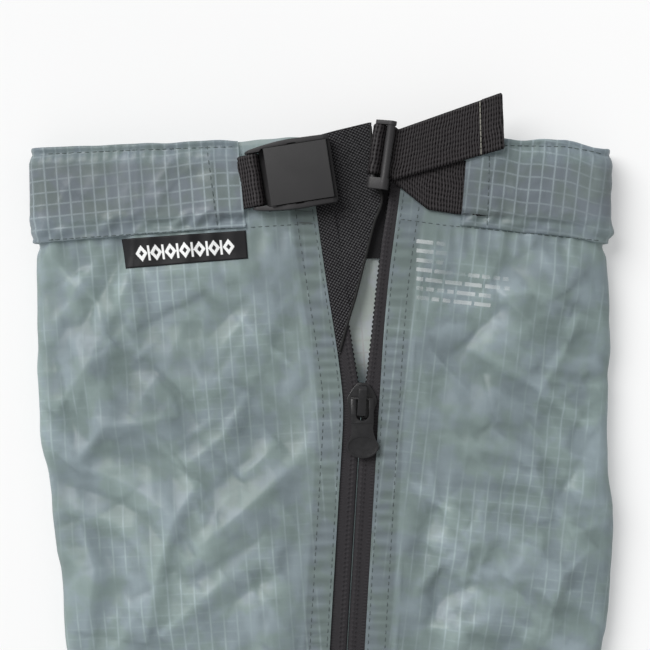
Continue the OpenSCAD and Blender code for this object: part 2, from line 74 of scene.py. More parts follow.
CUFF_Y = box_mm("left_shell")[1][1]
CROWN = box_mm("left_shell")[1][2]
LEG_L = CUFF_Y - box_mm("left_shell")[0][1]
SIDE_R = 6.0       # radius of the leg's side folds
LEFT_EDGE = along_leg("left_shell", lambda p: p[:, 0].min())
RIGHT_EDGE = along_leg("right_shell", lambda p: p[:, 0].max())
LEFT_FRONT = along_leg("left_shell", lambda p: p[p[:, 2] > CROWN - 3][:, 0].max())
RIGHT_FRONT = along_leg("right_shell", lambda p: p[p[:, 2] > CROWN - 3][:, 0].min())
UNDERSIDE = along_leg("left_shell", lambda p: p[:, 2].min())
LEFT_TEETH = along_leg("left_zip_coil", lambda p: p[:, 0].max())
RIGHT_TEETH = along_leg("right_zip_coil", lambda p: p[:, 0].min())
CUFF_H = CUFF_Y - box_mm("cuff_band")[0][1]
HEM_TOP = CUFF_Y - box_mm("hem_band")[1][1]
TAPE_TOP = box_mm("left_zip_tape")[1][2]
TAPE_LOW = box_mm("left_zip_tape")[0][2]
COIL_LOW = box_mm("left_zip_coil")[0][2]
JOINTS = {j["name"]: j for j in frame["joints"]}


def at(table, d):
    return np.interp(d, *table)


def joint_place(name):
    return np.array(JOINTS[name]["pos_m"]) / MM


# ---- Small mathematics ----

def smooth(low, high, value):
    t = np.clip((value - low) / (high - low), 0.0, 1.0)
    return t * t * (3 - 2 * t)


def waves(x, y, seed, lengths, count=14):
    """A smooth random field of about unit height, from plane waves with lengths in the given range."""
    rng = np.random.default_rng(seed)
    total = np.zeros(np.broadcast(x, y).shape)
    for _ in range(count):
        length = rng.uniform(*lengths)
        turn, phase = rng.uniform(0, 2 * math.pi, 2)
        total += np.sin(2 * math.pi * (x * math.cos(turn) + y * math.sin(turn)) / length + phase)
    return total / math.sqrt(count / 2)


def bars(value, pitch, phase=0.0):
    """1 in the middle of each bar at every pitch, and 0 half-way between them."""
    return 0.5 + 0.5 * np.cos(2 * math.pi * value / pitch + phase)


def blurred(values, rounds):
    """A grid of values with its fine detail averaged away."""
    values = values.copy()
    for _ in range(rounds):
        values[1:-1] = 0.25 * values[:-2] + 0.5 * values[1:-1] + 0.25 * values[2:]
        values[:, 1:-1] = 0.25 * values[:, :-2] + 0.5 * values[:, 1:-1] + 0.25 * values[:, 2:]
    return values


def on_leg(x, d, z):
    """A grid of points x across the leg, d down it and z high."""
    return np.stack(np.broadcast_arrays(x, CUFF_Y - d, z), 2)


def crease(x, d, line, height, wide, steep, crest=0.7):
    """A fold along line, whose points are (x, d): its crest falls away over `wide` on its right-hand side
    and over `steep` on its left, and it fades out towards both ends."""
    line = np.array(line, float)
    steps = np.linalg.norm(np.diff(line, axis=0), axis=1)
    whole = steps.sum()
    best = np.full(x.shape, 1e9)
    side = np.zeros(x.shape)
    place = np.zeros(x.shape)
    start = 0.0
    for (ax, ad), (bx, bd), step in zip(line[:-1], line[1:], steps):
        tx, td = (bx - ax) / step, (bd - ad) / step
        s = np.clip((x - ax) * tx + (d - ad) * td, 0, step)
        away = np.hypot(x - ax - s * tx, d - ad - s * td)
        near = away < best
        best = np.where(near, away, best)
        side = np.where(near, np.sign((x - ax) * td - (d - ad) * tx), side)
        place = np.where(near, (start + s) / whole, place)
        start += step
    fade = np.clip(4 * place * (1 - place), 0, 1) ** 0.6
    width = np.where(side > 0, wide, steep)
    return height * fade * np.exp(-(np.sqrt(best ** 2 + crest ** 2) - crest) / width)


def crumple(x, d, seed, count, x_range, d_range, lengths, heights, widths, crest=0.7):
    """The sum of many random creases, as a thin coated cloth keeps after it has been folded away."""
    rng = np.random.default_rng(seed)
    total = np.zeros(x.shape)
    for _ in range(count):
        cx, cd = rng.uniform(*x_range), rng.uniform(*d_range)
        turn, length = rng.uniform(0, math.pi), rng.uniform(*lengths)
        height = rng.uniform(*heights) * rng.choice([-1, 1])
        wide, steep = rng.uniform(*widths, 2)
        bend = rng.uniform(-0.16, 0.16) * length
        dx, dd = math.cos(turn) * length / 2, math.sin(turn) * length / 2
        middle = (cx - dd / length * bend * 2, cd + dx / length * bend * 2)
        total += crease(x, d, [(cx - dx, cd - dd), middle, (cx + dx, cd + dd)], height, wide, steep, crest)
    return total


def facets(x, d, seed, count, lengths, steepness):
    """Flat planes that meet in sharp wandering ridges, each set of them in its own patches of the cloth."""
    rng = np.random.default_rng(seed)
    total = np.zeros(x.shape)
    for k in range(count):
        turn, length = rng.uniform(0, math.pi), rng.uniform(*lengths)
        run = (x * math.cos(turn) + d * math.sin(turn)) / length + 0.32 * waves(x, d, seed + 10 * k, (50, 150), 5)
        plane = np.arcsin(0.99 * np.sin(2 * math.pi * run)) / (math.pi / 2)
        where = smooth(-0.1, 1.0, waves(x, d, seed + 10 * k + 5, (60, 150), 5))
        total += rng.uniform(*steepness) * length / 4 * where * plane
    return total


# ---- Building meshes ----

def add_mesh(name, points, faces, uv=None, values=None):
    """A smooth-shaded mesh object from points in millimetres. uv and values are per point; values go in
    named attributes."""
    mesh = bpy.data.meshes.new(name)
    mesh.from_pydata((np.asarray(points, float) * MM).tolist(), [], [tuple(map(int, f)) for f in faces])
    corners = np.empty(len(mesh.loops), int)
    mesh.loops.foreach_get("vertex_index", corners)
    if uv is not None:
        layer = mesh.uv_layers.new(name="cloth")
        layer.data.foreach_set("uv", (np.asarray(uv, float)[corners] * MM).ravel())
    for key, value in (values or {}).items():
        attribute = mesh.attributes.new(key, "FLOAT", "POINT")
        attribute.data.foreach_set("value", np.asarray(value, float).ravel())
    mesh.polygons.foreach_set("use_smooth", [True] * len(mesh.polygons))
    mesh.validate()
    mesh.update()
    obj = bpy.data.objects.new(name, mesh)
    bpy.context.scene.collection.objects.link(obj)
    return obj


def grid_faces(rows, cols, first=0, flip=False):
    i, j = np.meshgrid(np.arange(rows - 1), np.arange(cols - 1), indexing="ij")
    a = (first + i * cols + j).ravel()
    quads = np.stack([a, a + cols, a + cols + 1, a + 1], 1)
    return quads[:, ::-1] if flip else quads


def grid_normals(points):
    """Unit normals of a grid of points, by differences along its rows and columns."""
    normals = np.cross(np.gradient(points, axis=0), np.gradient(points, axis=1))
    return normals / np.maximum(np.linalg.norm(normals, axis=2, keepdims=True), 1e-9)


def cloth_grid(name, points, uv, values=None, flip=False):
    """A single layer of cloth over a grid of points."""
    rows, cols = points.shape[:2]
    # Each point's painted highlight and shade factor multiplies the cloth's colour; 1 paints none
    values = {"painted_shading": np.ones((rows, cols)), **(values or {})}
    return add_mesh(name, points.reshape(-1, 3), grid_faces(rows, cols, flip=flip), uv.reshape(-1, 2),
                    {k: v.ravel() for k, v in values.items()})


def slab_grid(name, upper, lower, uv, values=None):
    """A closed slab between two grids of points of one size."""
    rows, cols = upper.shape[:2]
    count = rows * cols
    faces = [grid_faces(rows, cols), grid_faces(rows, cols, count, True)]
    rim = np.concatenate([np.arange(cols), np.arange(1, rows) * cols + cols - 1,
                          (rows - 1) * cols + np.arange(cols - 2, -1, -1), np.arange(rows - 2, 0, -1) * cols])
    after = np.roll(rim, -1)
    faces.append(np.stack([rim, after, after + count, rim + count], 1))
    points = np.concatenate([upper.reshape(-1, 3), lower.reshape(-1, 3)])
    both = {k: np.tile(v.ravel(), 2) for k, v in (values or {}).items()}
    return add_mesh(name, points, np.concatenate(faces), np.tile(uv.reshape(-1, 2), (2, 1)), both)


def tubes(name, lines, radius, sides=6, squash=1.0):
    """Closed round tubes along a list of polylines, all in one mesh."""
    points, faces = [], []
    turn = np.linspace(0, 2 * math.pi, sides, endpoint=False)
    for line in lines:
        line = np.asarray(line, float)
        tangent = np.gradient(line, axis=0)
        tangent /= np.maximum(np.linalg.norm(tangent, axis=1, keepdims=True), 1e-9)
        across = np.cross(tangent, [0, 0, 1.0])
        flat = np.linalg.norm(across, axis=1) < 1e-3
        across[flat] = [1.0, 0, 0]
        across /= np.linalg.norm(across, axis=1, keepdims=True)
        up = np.cross(across, tangent)
        first, n = len(points), len(line)
        ends = np.ones(n)
        ends[[0, -1]] = 0.6
        for p, a, u, e in zip(line, across, up, ends):
            points.extend(p + e * radius * (np.cos(t) * a + squash * np.sin(t) * u) for t in turn)
        for i in range(n - 1):
            for k in range(sides):
                m = (k + 1) % sides
                faces.append([first + i * sides + k, first + i * sides + m,
                              first + (i + 1) * sides + m, first + (i + 1) * sides + k])
        faces.append([first + k for k in range(sides)][::-1])
        faces.append([first + (n - 1) * sides + k for k in range(sides)])
    return add_mesh(name, points, faces)


# ---- Materials ----

class Nodes:
    """A material's node tree, with short calls for the nodes that the materials below share."""

    def __init__(self, name):
        self.material = bpy.data.materials.new(name)
        self.material.use_nodes = True
        self.tree = self.material.node_tree
        self.tree.nodes.clear()
        self.output = self.add("OutputMaterial")

    def add(self, kind, **inputs):
        node = self.tree.nodes.new("ShaderNode" + kind)
        for key, value in inputs.items():
            self.set(node, key.replace("_", " "), value)
        return node

    def set(self, node, socket, value):
        socket = node.inputs[socket] if isinstance(socket, (str, int)) else socket
        if isinstance(value, bpy.types.NodeSocket):
            self.tree.links.new(value, socket)
        else:
            socket.default_value = value

    def math(self, operation, a, b=0.0):
        node = self.add("Math")
        node.operation = operation
        self.set(node, 0, a)
        self.set(node, 1, b)
        return node.outputs[0]

    def mix(self, factor, a, b):
        node = self.add("Mix")
        node.data_type = "RGBA"
        self.set(node, 0, factor)
        self.set(node, 6, a if isinstance(a, bpy.types.NodeSocket) else (*a, 1))
        self.set(node, 7, b if isinstance(b, bpy.types.NodeSocket) else (*b, 1))
        return node.outputs[2]

    def mix_shader(self, factor, a, b):
        node = self.add("MixShader")
        self.set(node, 0, factor)
        self.set(node, 1, a)
        self.set(node, 2, b)
        return node.outputs[0]

    def uv(self):
        node = self.add("UVMap")
        node.uv_map = "cloth"
        split = self.add("SeparateXYZ")
        self.tree.links.new(node.outputs[0], split.inputs[0])
        return node.outputs[0], split.outputs[0], split.outputs[1]

    def place(self):
        return self.add("TexCoord").outputs["Object"]

    def attribute(self, name):
        node = self.add("Attribute")
        node.attribute_name = name
        return node.outputs["Fac"]

    def noise(self, where, scale, detail=3.0, rough=0.5):
        node = self.add("TexNoise", Vector=where, Scale=scale, Detail=detail, Roughness=rough)
        return node.outputs[0]

    def ramp(self, value, low, high, to_low=0.0, to_high=1.0):
        node = self.add("MapRange")
        node.interpolation_type = "SMOOTHSTEP"
        for i, v in enumerate([value, low, high, to_low, to_high]):
            self.set(node, i, v)
        return node.outputs[0]

    def bump(self, height, strength, distance):
        node = self.add("Bump", Strength=strength, Distance=distance, Height=height)
        return node.outputs[0]

    def surface(self, shade, rough, normal, specular=0.5, metallic=0.0):
        node = self.add("BsdfPrincipled", Base_Color=shade, Roughness=rough, Metallic=metallic, Normal=normal)
        self.set(node, "Specular IOR Level", specular)
        return node.outputs[0]

    def finish(self, shader):
        self.tree.links.new(shader, self.output.inputs[0])
        return self.material


def grid_lines(n, coordinate, pitch, half_width):
    """1 on the lines across a coordinate at every pitch, 0 between them. All in metres."""
    folded = n.math("PINGPONG", coordinate, pitch / 2)
    return n.ramp(folded, 0.0, half_width * 2, 1.0, 0.0)


def ripstop(name, reflect, passing, clear, line_gain=0.36, patch=34.0, faint=0.12, grid=(4.9, 4.9),
            weft_share=0.8):
    """Thin coated ripstop. reflect and passing are the shares of light that one layer sends back and lets
    through, and clear is the share that goes through it unscattered. grid is the spacing of its thick
    threads."""
    n = Nodes(name)
    uv, u, v = n.uv()
    uneven = n.noise(uv, patch, 3.0)
    warp = n.math("MULTIPLY", grid_lines(n, u, grid[0] * MM, 0.32 * MM), n.ramp(uneven, 0.38, 0.62, faint, 1.0))
    weft = n.math("MULTIPLY", grid_lines(n, v, grid[1] * MM, 0.30 * MM),
                  n.ramp(uneven, 0.42, 0.66, faint * 0.7, weft_share))
    lines = n.math("MAXIMUM", warp, weft)
    mottle = n.math("MULTIPLY", n.ramp(n.noise(uv, 120.0, 4.0, 0.6), 0.3, 0.7, 0.94, 1.05),
                    n.ramp(n.noise(uv, 15.0, 2.0), 0.32, 0.68, 0.86, 1.09))
    # The shell's painted highlight on crests and painted shade in hollows and along the doubled edge come in here
    mottle = n.math("MULTIPLY", mottle, n.attribute("painted_shading"))
    half = (1 - clear) / 2
    body = [c / half for c in reflect]
    through = [min(0.98, (c - clear * 0.9) / half) for c in passing]
    thread = [min(0.95, c * (1 + line_gain)) for c in body]
    thick = [c * 0.72 for c in through]
    cool = n.ramp(n.noise(uv, 60.0, 3.0, 0.6), 0.42, 0.58)
    red, green, blue = body
    tinted = n.mix(cool, [red, green * 1.015, blue * 0.96], [red * 1.01, green * 0.985, blue * 1.05])
    shade = n.mix(lines, tinted, thread)
    shade_mottled = n.add("HueSaturation")
    n.set(shade_mottled, "Value", mottle)
    n.set(shade_mottled, "Color", shade)
    weave = n.math("ADD", n.math("MULTIPLY", lines, 0.6), n.math("MULTIPLY", n.noise(uv, 1400.0, 1.0), 0.25))
    normal = n.bump(weave, 0.35, 0.00018)
    surface = n.surface(shade_mottled.outputs[0], 0.36, normal)
    glow = n.add("BsdfTranslucent", Color=n.mix(lines, through, thick), Normal=normal)
    cloth = n.mix_shader(0.5, surface, glow.outputs[0])
    see = n.add("BsdfTransparent", Color=(0.9, 0.93, 0.93, 1))
    return n.finish(n.mix_shader(n.ramp(lines, 0.0, 1.0, clear, clear * 0.3), cloth, see.outputs[0]))


def woven_dark(name, low, high, shine=0.3):
    """Dark yarn, painted lighter on its crowns and darker in the gaps between them as painted highlight and painted
    shade, and shinier on its crowns.
    """
    n = Nodes(name)
    where = n.place()
    fibre = n.noise(where, 2600.0, 2.0, 0.7)
    crown = n.math("MULTIPLY", n.attribute("crown"), n.ramp(fibre, 0.25, 0.75, 0.72, 1.15))
    # Painted shade in the gaps and painted highlight on the crowns: the colour follows the weave's crown
    shade = n.mix(crown, low, high)
    return n.finish(n.surface(shade, 0.55, n.bump(fibre, 0.5, 0.00012), n.math("MULTIPLY", crown, shine)))


def moulded(name, colour, rough=0.48, grain=0.35):
    """Black moulded plastic with a fine spark-eroded grain, its roughness varying with the grain."""
    n = Nodes(name)
    where = n.place()
    speck = n.noise(where, 2200.0, 2.0, 0.6)
    cloud = n.noise(where, 60.0, 3.0)
    shade = n.mix(n.ramp(cloud, 0.3, 0.7), [c * 0.92 for c in colour], [c * 1.08 for c in colour])
    polish = n.ramp(speck, 0.2, 0.8, rough - 0.06, rough + 0.08)
    return n.finish(n.surface(shade, polish, n.bump(speck, grain, 0.00008), 0.3))


def metal(name, colour, rough, metallic=1.0):
    n = Nodes(name)
    where = n.place()
    wear = n.noise(where, 400.0, 4.0, 0.6)
    shade = n.mix(n.ramp(wear, 0.35, 0.7), colour, [min(1, c * 1.15) for c in colour])
    polish = n.ramp(wear, 0.3, 0.7, rough - 0.05, rough + 0.08)
    normal = n.bump(n.noise(where, 1800.0, 2.0), 0.15, 0.00005)
    return n.finish(n.surface(shade, polish, normal, metallic=metallic))


def thread_material(name, colour):
    n = Nodes(name)
    twist = n.noise(n.place(), 3000.0, 2.0)
    shade = n.mix(n.ramp(twist, 0.3, 0.7), [c * 0.75 for c in colour], [c * 1.2 for c in colour])
    return n.finish(n.surface(shade, 0.6, n.bump(twist, 0.4, 0.0001), 0.2))


REFLECT = (0.180, 0.222, 0.229)
PASSING = (0.215, 0.245, 0.245)
SHELL = ripstop("shell_ripstop", REFLECT, PASSING, 0.10, 0.32, grid=(5.4, 4.05), weft_share=0.5)
BAND = ripstop("band_ripstop", (0.140, 0.168, 0.179), (0.26, 0.29, 0.295), 0.12, 0.60, 20.0, 0.5)
FACING = ripstop("facing_ripstop", (0.09, 0.105, 0.107), (0.14, 0.16, 0.16), 0.03)
# The lining's pale colour is painted light, far lighter than the shell's own cloth
PAINTED_LIGHT_LINING = ripstop("lining_ripstop_painted_light", (0.49, 0.53, 0.525), (0.22, 0.24, 0.24), 0.03, 0.22)
WEBBING = woven_dark("webbing_nylon", (0.0012, 0.0011, 0.0012), (0.036, 0.032, 0.034), 0.34)
GUSSET_YARN = woven_dark("gusset_yarn", (0.0035, 0.0035, 0.004), (0.078, 0.077, 0.082), 0.36)
TAPE_YARN = woven_dark("tape_yarn", (0.006, 0.0055, 0.0065), (0.040, 0.037, 0.041), 0.30)
GUSSET_FOLD = thread_material("gusset_fold_cloth", (0.013, 0.0125, 0.014))
COIL = moulded("coil_nylon", (0.008, 0.008, 0.009), 0.4, 0.1)
PLASTIC = moulded("buckle_acetal", (0.030, 0.029, 0.0305))
SLIDER = metal("slider_black", (0.010, 0.010, 0.011), 0.30, 0.0)
STEEL = metal("hook_steel", (0.42, 0.43, 0.44), 0.32)
GUNMETAL = metal("eyelet_gunmetal", (0.20, 0.205, 0.21), 0.30)
THREAD = thread_material("seam_thread", (0.105, 0.130, 0.132))
PALE_THREAD = thread_material("tail_thread", (0.25, 0.245, 0.215))
DARK_THREAD = thread_material("black_thread", (0.012, 0.012, 0.012))


def dress(obj, material, replaces=()):
    """Gives a piece its material and the gaiter's body to ride on."""
    obj.data.materials.clear()
    obj.data.materials.append(material)
    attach(obj, "gaiter")
    if replaces:
        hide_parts(*replaces)
    return obj


# ---- Camera, floor and light ----

FRAME_W = 260.0    # width of the floor that the picture spans, at the top of the leg
LENS, SENSOR = 90.0, 36.0
FLOOR_HALF, FLOOR_Z = 8000.0, -0.15
BACKDROP_R, BACKDROP_TOP, BACKDROP_SIDES = 7000.0, 1400.0, 96


def build_stage():
    bpy.context.scene.view_settings.view_transform = "Standard"
    camera = bpy.data.objects.new("camera", bpy.data.cameras.new("camera"))
    camera.data.lens, camera.data.sensor_width = LENS, SENSOR
    camera.data.clip_start, camera.data.clip_end = 0.01, 20.0
    height = CROWN + FRAME_W * LENS / SENSOR
    camera.location = Vector((0.4, CUFF_Y - 71.2, height)) * MM
    bpy.context.scene.collection.objects.link(camera)
    bpy.context.scene.camera = camera

    n = Nodes("floor_paper")
    cloud = n.noise(n.place(), 3.0, 2.0)
    shade = n.mix(n.ramp(cloud, 0.3, 0.7), (0.90, 0.905, 0.91), (0.92, 0.922, 0.925))
    paper = n.add("BsdfDiffuse", Color=shade).outputs[0]
    n.finish(n.mix_shader(0.3, paper, n.add("Emission", Color=shade, Strength=1.0).outputs[0]))
    square = ((-1, -1), (1, -1), (1, 1), (-1, 1))
    floor = add_mesh("floor", [(x * FLOOR_HALF, y * FLOOR_HALF, FLOOR_Z) for x, y in square], [(0, 1, 2, 3)])
    floor.data.materials.append(n.material)

    # A low ring of lit paper far round the leg, so that a low view ends in paper too
    turns = np.linspace(0, 2 * math.pi, BACKDROP_SIDES, endpoint=False)
    points = [(BACKDROP_R * math.cos(a), BACKDROP_R * math.sin(a), z) for z in (FLOOR_Z, BACKDROP_TOP) for a in turns]
    after = [(i + 1) % BACKDROP_SIDES for i in range(BACKDROP_SIDES)]
    faces = [(i, k, BACKDROP_SIDES + k, BACKDROP_SIDES + i) for i, k in enumerate(after)]
    n = Nodes("backdrop_paper")
    shade = n.mix(n.ramp(n.noise(n.place(), 3.0, 2.0), 0.3, 0.7), (0.93, 0.933, 0.935), (0.95, 0.951, 0.953))
    n.finish(n.add("Emission", Color=shade, Strength=1.0).outputs[0])
    backdrop = add_mesh("backdrop", points, faces)
    backdrop.data.materials.append(n.material)

    world = bpy.data.worlds.new("studio")
    world.use_nodes = True
    world.node_tree.nodes["Background"].inputs[0].default_value = (1.0, 1.0, 1.0, 1)
    world.node_tree.nodes["Background"].inputs[1].default_value = 0.42
    bpy.context.scene.world = world

    lamp = bpy.data.objects.new("softbox", bpy.data.lights.new("softbox", "SUN"))
    lamp.data.energy = 2.92
    lamp.data.angle = math.radians(40)
    lamp.data.color = (1.0, 0.995, 0.985)
    lamp.rotation_euler = (0, math.radians(-45), math.radians(-40))
    bpy.context.scene.collection.objects.link(lamp)


# ---- Shape of the lying leg ----

ROW = 0.92         # spacing of the cloth's rows of points
FRONT_COLS, FOLD_COLS, BACK_COLS = 126, 14, 28
# The cuff's top edge rises above d = 0, and the band's lower edge bows: [x, d]
TOP_LINE = ([-115, -78, -60, -34, -10, 30, 71, 97, 106, 113],
            [0.1, -1.2, -1.8, -2.5, -3.8, -2.6, -3.1, -2.8, -1.4, 0.2])
BAND_LOW = ([-115, -75, -31, -12, 30, 48, 80, 112], [38.2, 35.6, 33.0, 31.9, 29.6, 32.0, 35.2, 38.2])


def smoothed(table, sigma=5.0):
    """A table of the leg's edges with its corners rounded off."""
    d = np.arange(-60, LEG_L + 61, 1.0)
    inner = np.interp(d, *table)
    first, last = table[1][0], table[1][-1]
    inner[d < 0] = first + (first - np.interp(-d[d < 0], *table))
    inner[d > LEG_L] = last + (last - np.interp(2 * LEG_L - d[d > LEG_L], *table))
    reach = np.arange(-20, 21)
    kernel = np.exp(-0.5 * (reach / sigma) ** 2)
    return d, np.convolve(inner, kernel / kernel.sum(), "same")


EDGES = {-1: smoothed(LEFT_EDGE), 1: smoothed(RIGHT_EDGE)}
FRONTS = {-1: smoothed(LEFT_FRONT), 1: smoothed(RIGHT_FRONT)}
LOWS = smoothed(UNDERSIDE)


def outline_wave(side, d):
    """The side fold isn't ruled: small bulges, and a nick where the band is sewn on."""
    wave = 0.5 * waves(d, 0 * d, 40 + side, (18, 60), 8)
    nick = 1.5 * np.exp(-((d - 39.5) / 2.6) ** 2)
    return side * (wave * smooth(40, 60, d) * 0.8 - nick)


def leg_half(side, d, offset, from_x=None, to_x=0.0, columns=(FRONT_COLS, FOLD_COLS, BACK_COLS)):
    """Grid of points round one half of the leg, from its front to its back, with the unrolled width of each.
    offset raises it from the leg's surface; d and offset have one value a row."""
    d = np.asarray(d, float)[:, None]
    offset = np.asarray(offset, float).reshape(-1, 1) + 0 * d
    edge = at(EDGES[side], d) + outline_wave(side, d)
    fold = edge - side * SIDE_R
    crest = at(FRONTS[side], d)
    start = crest if from_x is None else at(from_x, d)
    low = at(LOWS, d)
    t = np.linspace(0, 1, columns[0])[None]
    x_front = start + (fold - start) * t
    z_front = low + 2 * SIDE_R + (CROWN - low - 2 * SIDE_R) * (1 - ((x_front - crest) / (fold - crest)) ** 2)
    turn = np.linspace(math.pi / 2, -math.pi / 2, columns[1] + 2)[None, 1:-1]
    x_fold, z_fold = fold + side * SIDE_R * np.cos(turn), low + SIDE_R * (1 + np.sin(turn))
    t = np.linspace(0, 1, columns[2])[None]
    x_back = fold + (to_x - fold) * t
    x = np.concatenate([x_front, x_fold, x_back], 1)
    z = np.concatenate([z_front, z_fold, low + 0 * x_back], 1)
    points = np.stack([x, CUFF_Y - d + 0 * x, z], 2)
    step = np.linalg.norm(np.diff(points[:, :, [0, 2]], axis=1), axis=2)
    width = start + side * np.concatenate([np.zeros((len(d), 1)), np.cumsum(step, 1)], 1)
    run_x, run_z = np.gradient(points[:, :, 0], axis=1), np.gradient(points[:, :, 2], axis=1)
    normals = side * np.stack([-run_z, 0 * run_x, run_x], 2) / np.hypot(run_x, run_z)[:, :, None]
    return points + normals * offset[:, :, None], width, normals


# Folds that show on the front. Each is a line of (x, d), a height, and how far it falls away on its
# larger-x side and on its smaller-x side as the line runs down the leg.
LEFT_CREASES = [
    ([(-78, 76), (-62, 66), (-48, 60), (-34, 70)], -2.0, 6, 9),
    ([(-36, 66), (-22, 80), (-6, 94)], 1.9, 4, 9),
    ([(-84, 79), (-94, 87), (-110, 107)], 2.3, 4, 9),
    ([(-58, 107), (-74, 111), (-88, 112), (-102, 129)], 2.0, 4, 8),
    ([(-18, 118), (-34, 133)], 1.6, 4, 7),
    ([(-50, 134), (-60, 150), (-66, 170), (-72, 200)], 3.0, 4, 11),
    ([(-2, 118), (-28, 142), (-52, 162)], 2.2, 4, 10),
    ([(-38, 172), (-66, 197)], 1.8, 4, 8),
    ([(-100, 50), (-92, 62), (-86, 80)], 1.8, 4, 8),
    ([(-74, 84), (-60, 98), (-50, 112)], -1.6, 6, 6),
    ([(-30, 98), (-40, 116), (-56, 128)], 1.7, 4, 8),
    ([(-100, 150), (-92, 170), (-96, 196)], 1.9, 4, 9),
    ([(-26, 176), (-14, 196), (-10, 226)], 1.8, 5, 8),
    ([(-90, 225), (-60, 250), (-22, 262)], 2.4, 5, 10),
    ([(-70, 300), (-45, 330), (-40, 372)], 2.6, 5, 10),
    ([(-84, 352), (-60, 360), (-26, 350)], -2.0, 7, 7),
]
RIGHT_CREASES = [
    ([(74, 62), (60, 76), (48, 87)], -2.1, 8, 6),
    ([(58, 80), (82, 94), (110, 114)], 2.4, 9, 4),
    ([(86, 40), (92, 50), (97, 58)], 2.0, 5, 7),
    ([(98, 136), (108, 142), (118, 149)], 2.2, 8, 4),
    ([(50, 160), (45, 178), (46, 192)], -1.9, 6, 6),
    ([(70, 60), (84, 58), (100, 66)], 1.8, 7, 4),
    ([(104, 66), (96, 84), (86, 98)], 1.6, 4, 8),
    ([(30, 130), (44, 142), (58, 150)], 1.4, 6, 4),
    ([(66, 112), (84, 128), (92, 150)], 1.7, 5, 8),
    ([(110, 160), (96, 172), (88, 198)], 2.0, 5, 8),
    ([(34, 226), (60, 240), (92, 236)], 2.2, 8, 5),
    ([(84, 290), (64, 320), (58, 366)], 2.5, 6, 9),
    ([(30, 300), (44, 330), (70, 346)], -1.9, 7, 7),
]


def shell_relief(side, x, d, front):
    """Height of the shell's wrinkles above its smooth shape, at unrolled widths x and distances d."""
    seed = 11 if side < 0 else 23
    x_range = (-118, 4) if side < 0 else (18, 120)
    total = crumple(x, d, seed, 60, x_range, (30, 410), (34, 96), (0.5, 1.5), (8, 20), 0.3)
    total += crumple(x, d, seed + 6, 90, x_range, (30, 410), (16, 60), (0.4, 1.5), (3.0, 9), 0.25)
    total += crumple(x, d, seed + 1, 150, x_range, (30, 410), (8, 30), (0.12, 0.45), (1.2, 3.2), 0.2)
    for line, height, wide, steep in LEFT_CREASES if side < 0 else RIGHT_CREASES:
        total += 1.6 * crease(x, d, line, height, wide, steep, 0.35)
    total += facets(x, d, seed + 300, 6, (34, 80), (0.06, 0.12))
    total += facets(x, d, seed + 500, 2, (12, 24), (0.05, 0.08))
    total += 0.9 * waves(x, d, seed + 2, (45, 110))
    total += 0.16 * waves(x, d, seed + 3, (9, 22), 20)
    total = 6 * np.tanh(total / 6)
    from_zip = side * (x - front)
    total *= 0.05 + 0.95 * smooth(8, 26, from_zip)
    total *= 0.25 + 0.75 * smooth(CUFF_H + 2, CUFF_H + 16, d)
    total *= 0.3 + 0.7 * (1 - smooth(HEM_TOP - 16, HEM_TOP - 4, d))
    pucker = 0.22 * np.sin(2 * math.pi * d / 5.3 + 2 * waves(x * 0, d, seed + 4, (20, 60), 5))
    total += pucker * np.exp(-((from_zip - 5) / 4.5) ** 2) * smooth(4, 10, d)
    gather = 0.35 * waves(x, 0 * d, seed + 5, (5, 13), 10)
    total += gather * np.exp(-((d - CUFF_H - 3) / 7) ** 2) * smooth(4, 20, from_zip)
    total += gather * np.exp(-((d - HEM_TOP) / 8) ** 2) * smooth(4, 20, from_zip)
    return total


def raise_top(points):
    """Lifts the leg's upper end to the cuff's top line."""
    d = CUFF_Y - points[..., 1]
    lift = np.interp(points[..., 0], *TOP_LINE) + 0.22 * waves(points[..., 0], 0 * d, 71, (9, 30), 8)
    points[..., 1] -= lift * (1 - smooth(0, 60, d))
    return points


def shell_grid(side):
    d = np.linspace(0, LEG_L, round(LEG_L / ROW) + 1)
    points, width, normals = leg_half(side, d, -0.1)
    dd = d[:, None] + 0 * width
    front = at(FRONTS[side], d)[:, None]
    height = shell_relief(side, width, dd, front)
    cols = np.arange(width.shape[1])
    back = smooth(FRONT_COLS + 4, FRONT_COLS + FOLD_COLS + 4, cols)[None]
    at_side = 1 - 0.72 * np.exp(-((cols - FRONT_COLS - FOLD_COLS / 2) / 9.0) ** 2)[None]
    height = np.where(back > 0, height * (1 - back) - 0.7 * np.abs(height) * back, height) * at_side
    near_zip = side * (width - front) < 13
    height = np.where(near_zip, np.clip(height, -0.12, 0.4), height)
    height = np.where(dd < CUFF_H, np.clip(height, -1.2, 0.12), height)
    points = raise_top(points + normals * height[:, :, None])
    # Behind the open zip the back of the leg comes up to just under the tapes
    gap = np.exp(-((points[..., 0] - 17 + 0.06 * dd) / 17) ** 4)
    points[..., 2] += back * 11.5 * gap * (1 - smooth(84, 112, dd)) * smooth(2, 30, dd)
    points[..., 2] = np.maximum(points[..., 2], 0.02)
    # The cloth is painted lighter along sharp crests and darker in the hollows between them (painted highlight and
    # painted shade), and painted darker along the doubled edge beside the zip (painted shade)
    broad = blurred(height, 14)
    doubled = 1 - smooth(9.8, 10.8, side * (width - front))
    painted_shading = (1 + 0.15 * np.tanh((height - broad) / 0.16)) * (1 - 0.17 * doubled)
    return points, width, dd, painted_shading


GRAIN_TURN = {-1: math.radians(-4.3), 1: math.radians(6.5)}


def cloth_uv(side, width, d):
    turn = GRAIN_TURN[side]
    return np.stack([width * math.cos(turn) + d * math.sin(turn), d * math.cos(turn) - width * math.sin(turn)], 2)


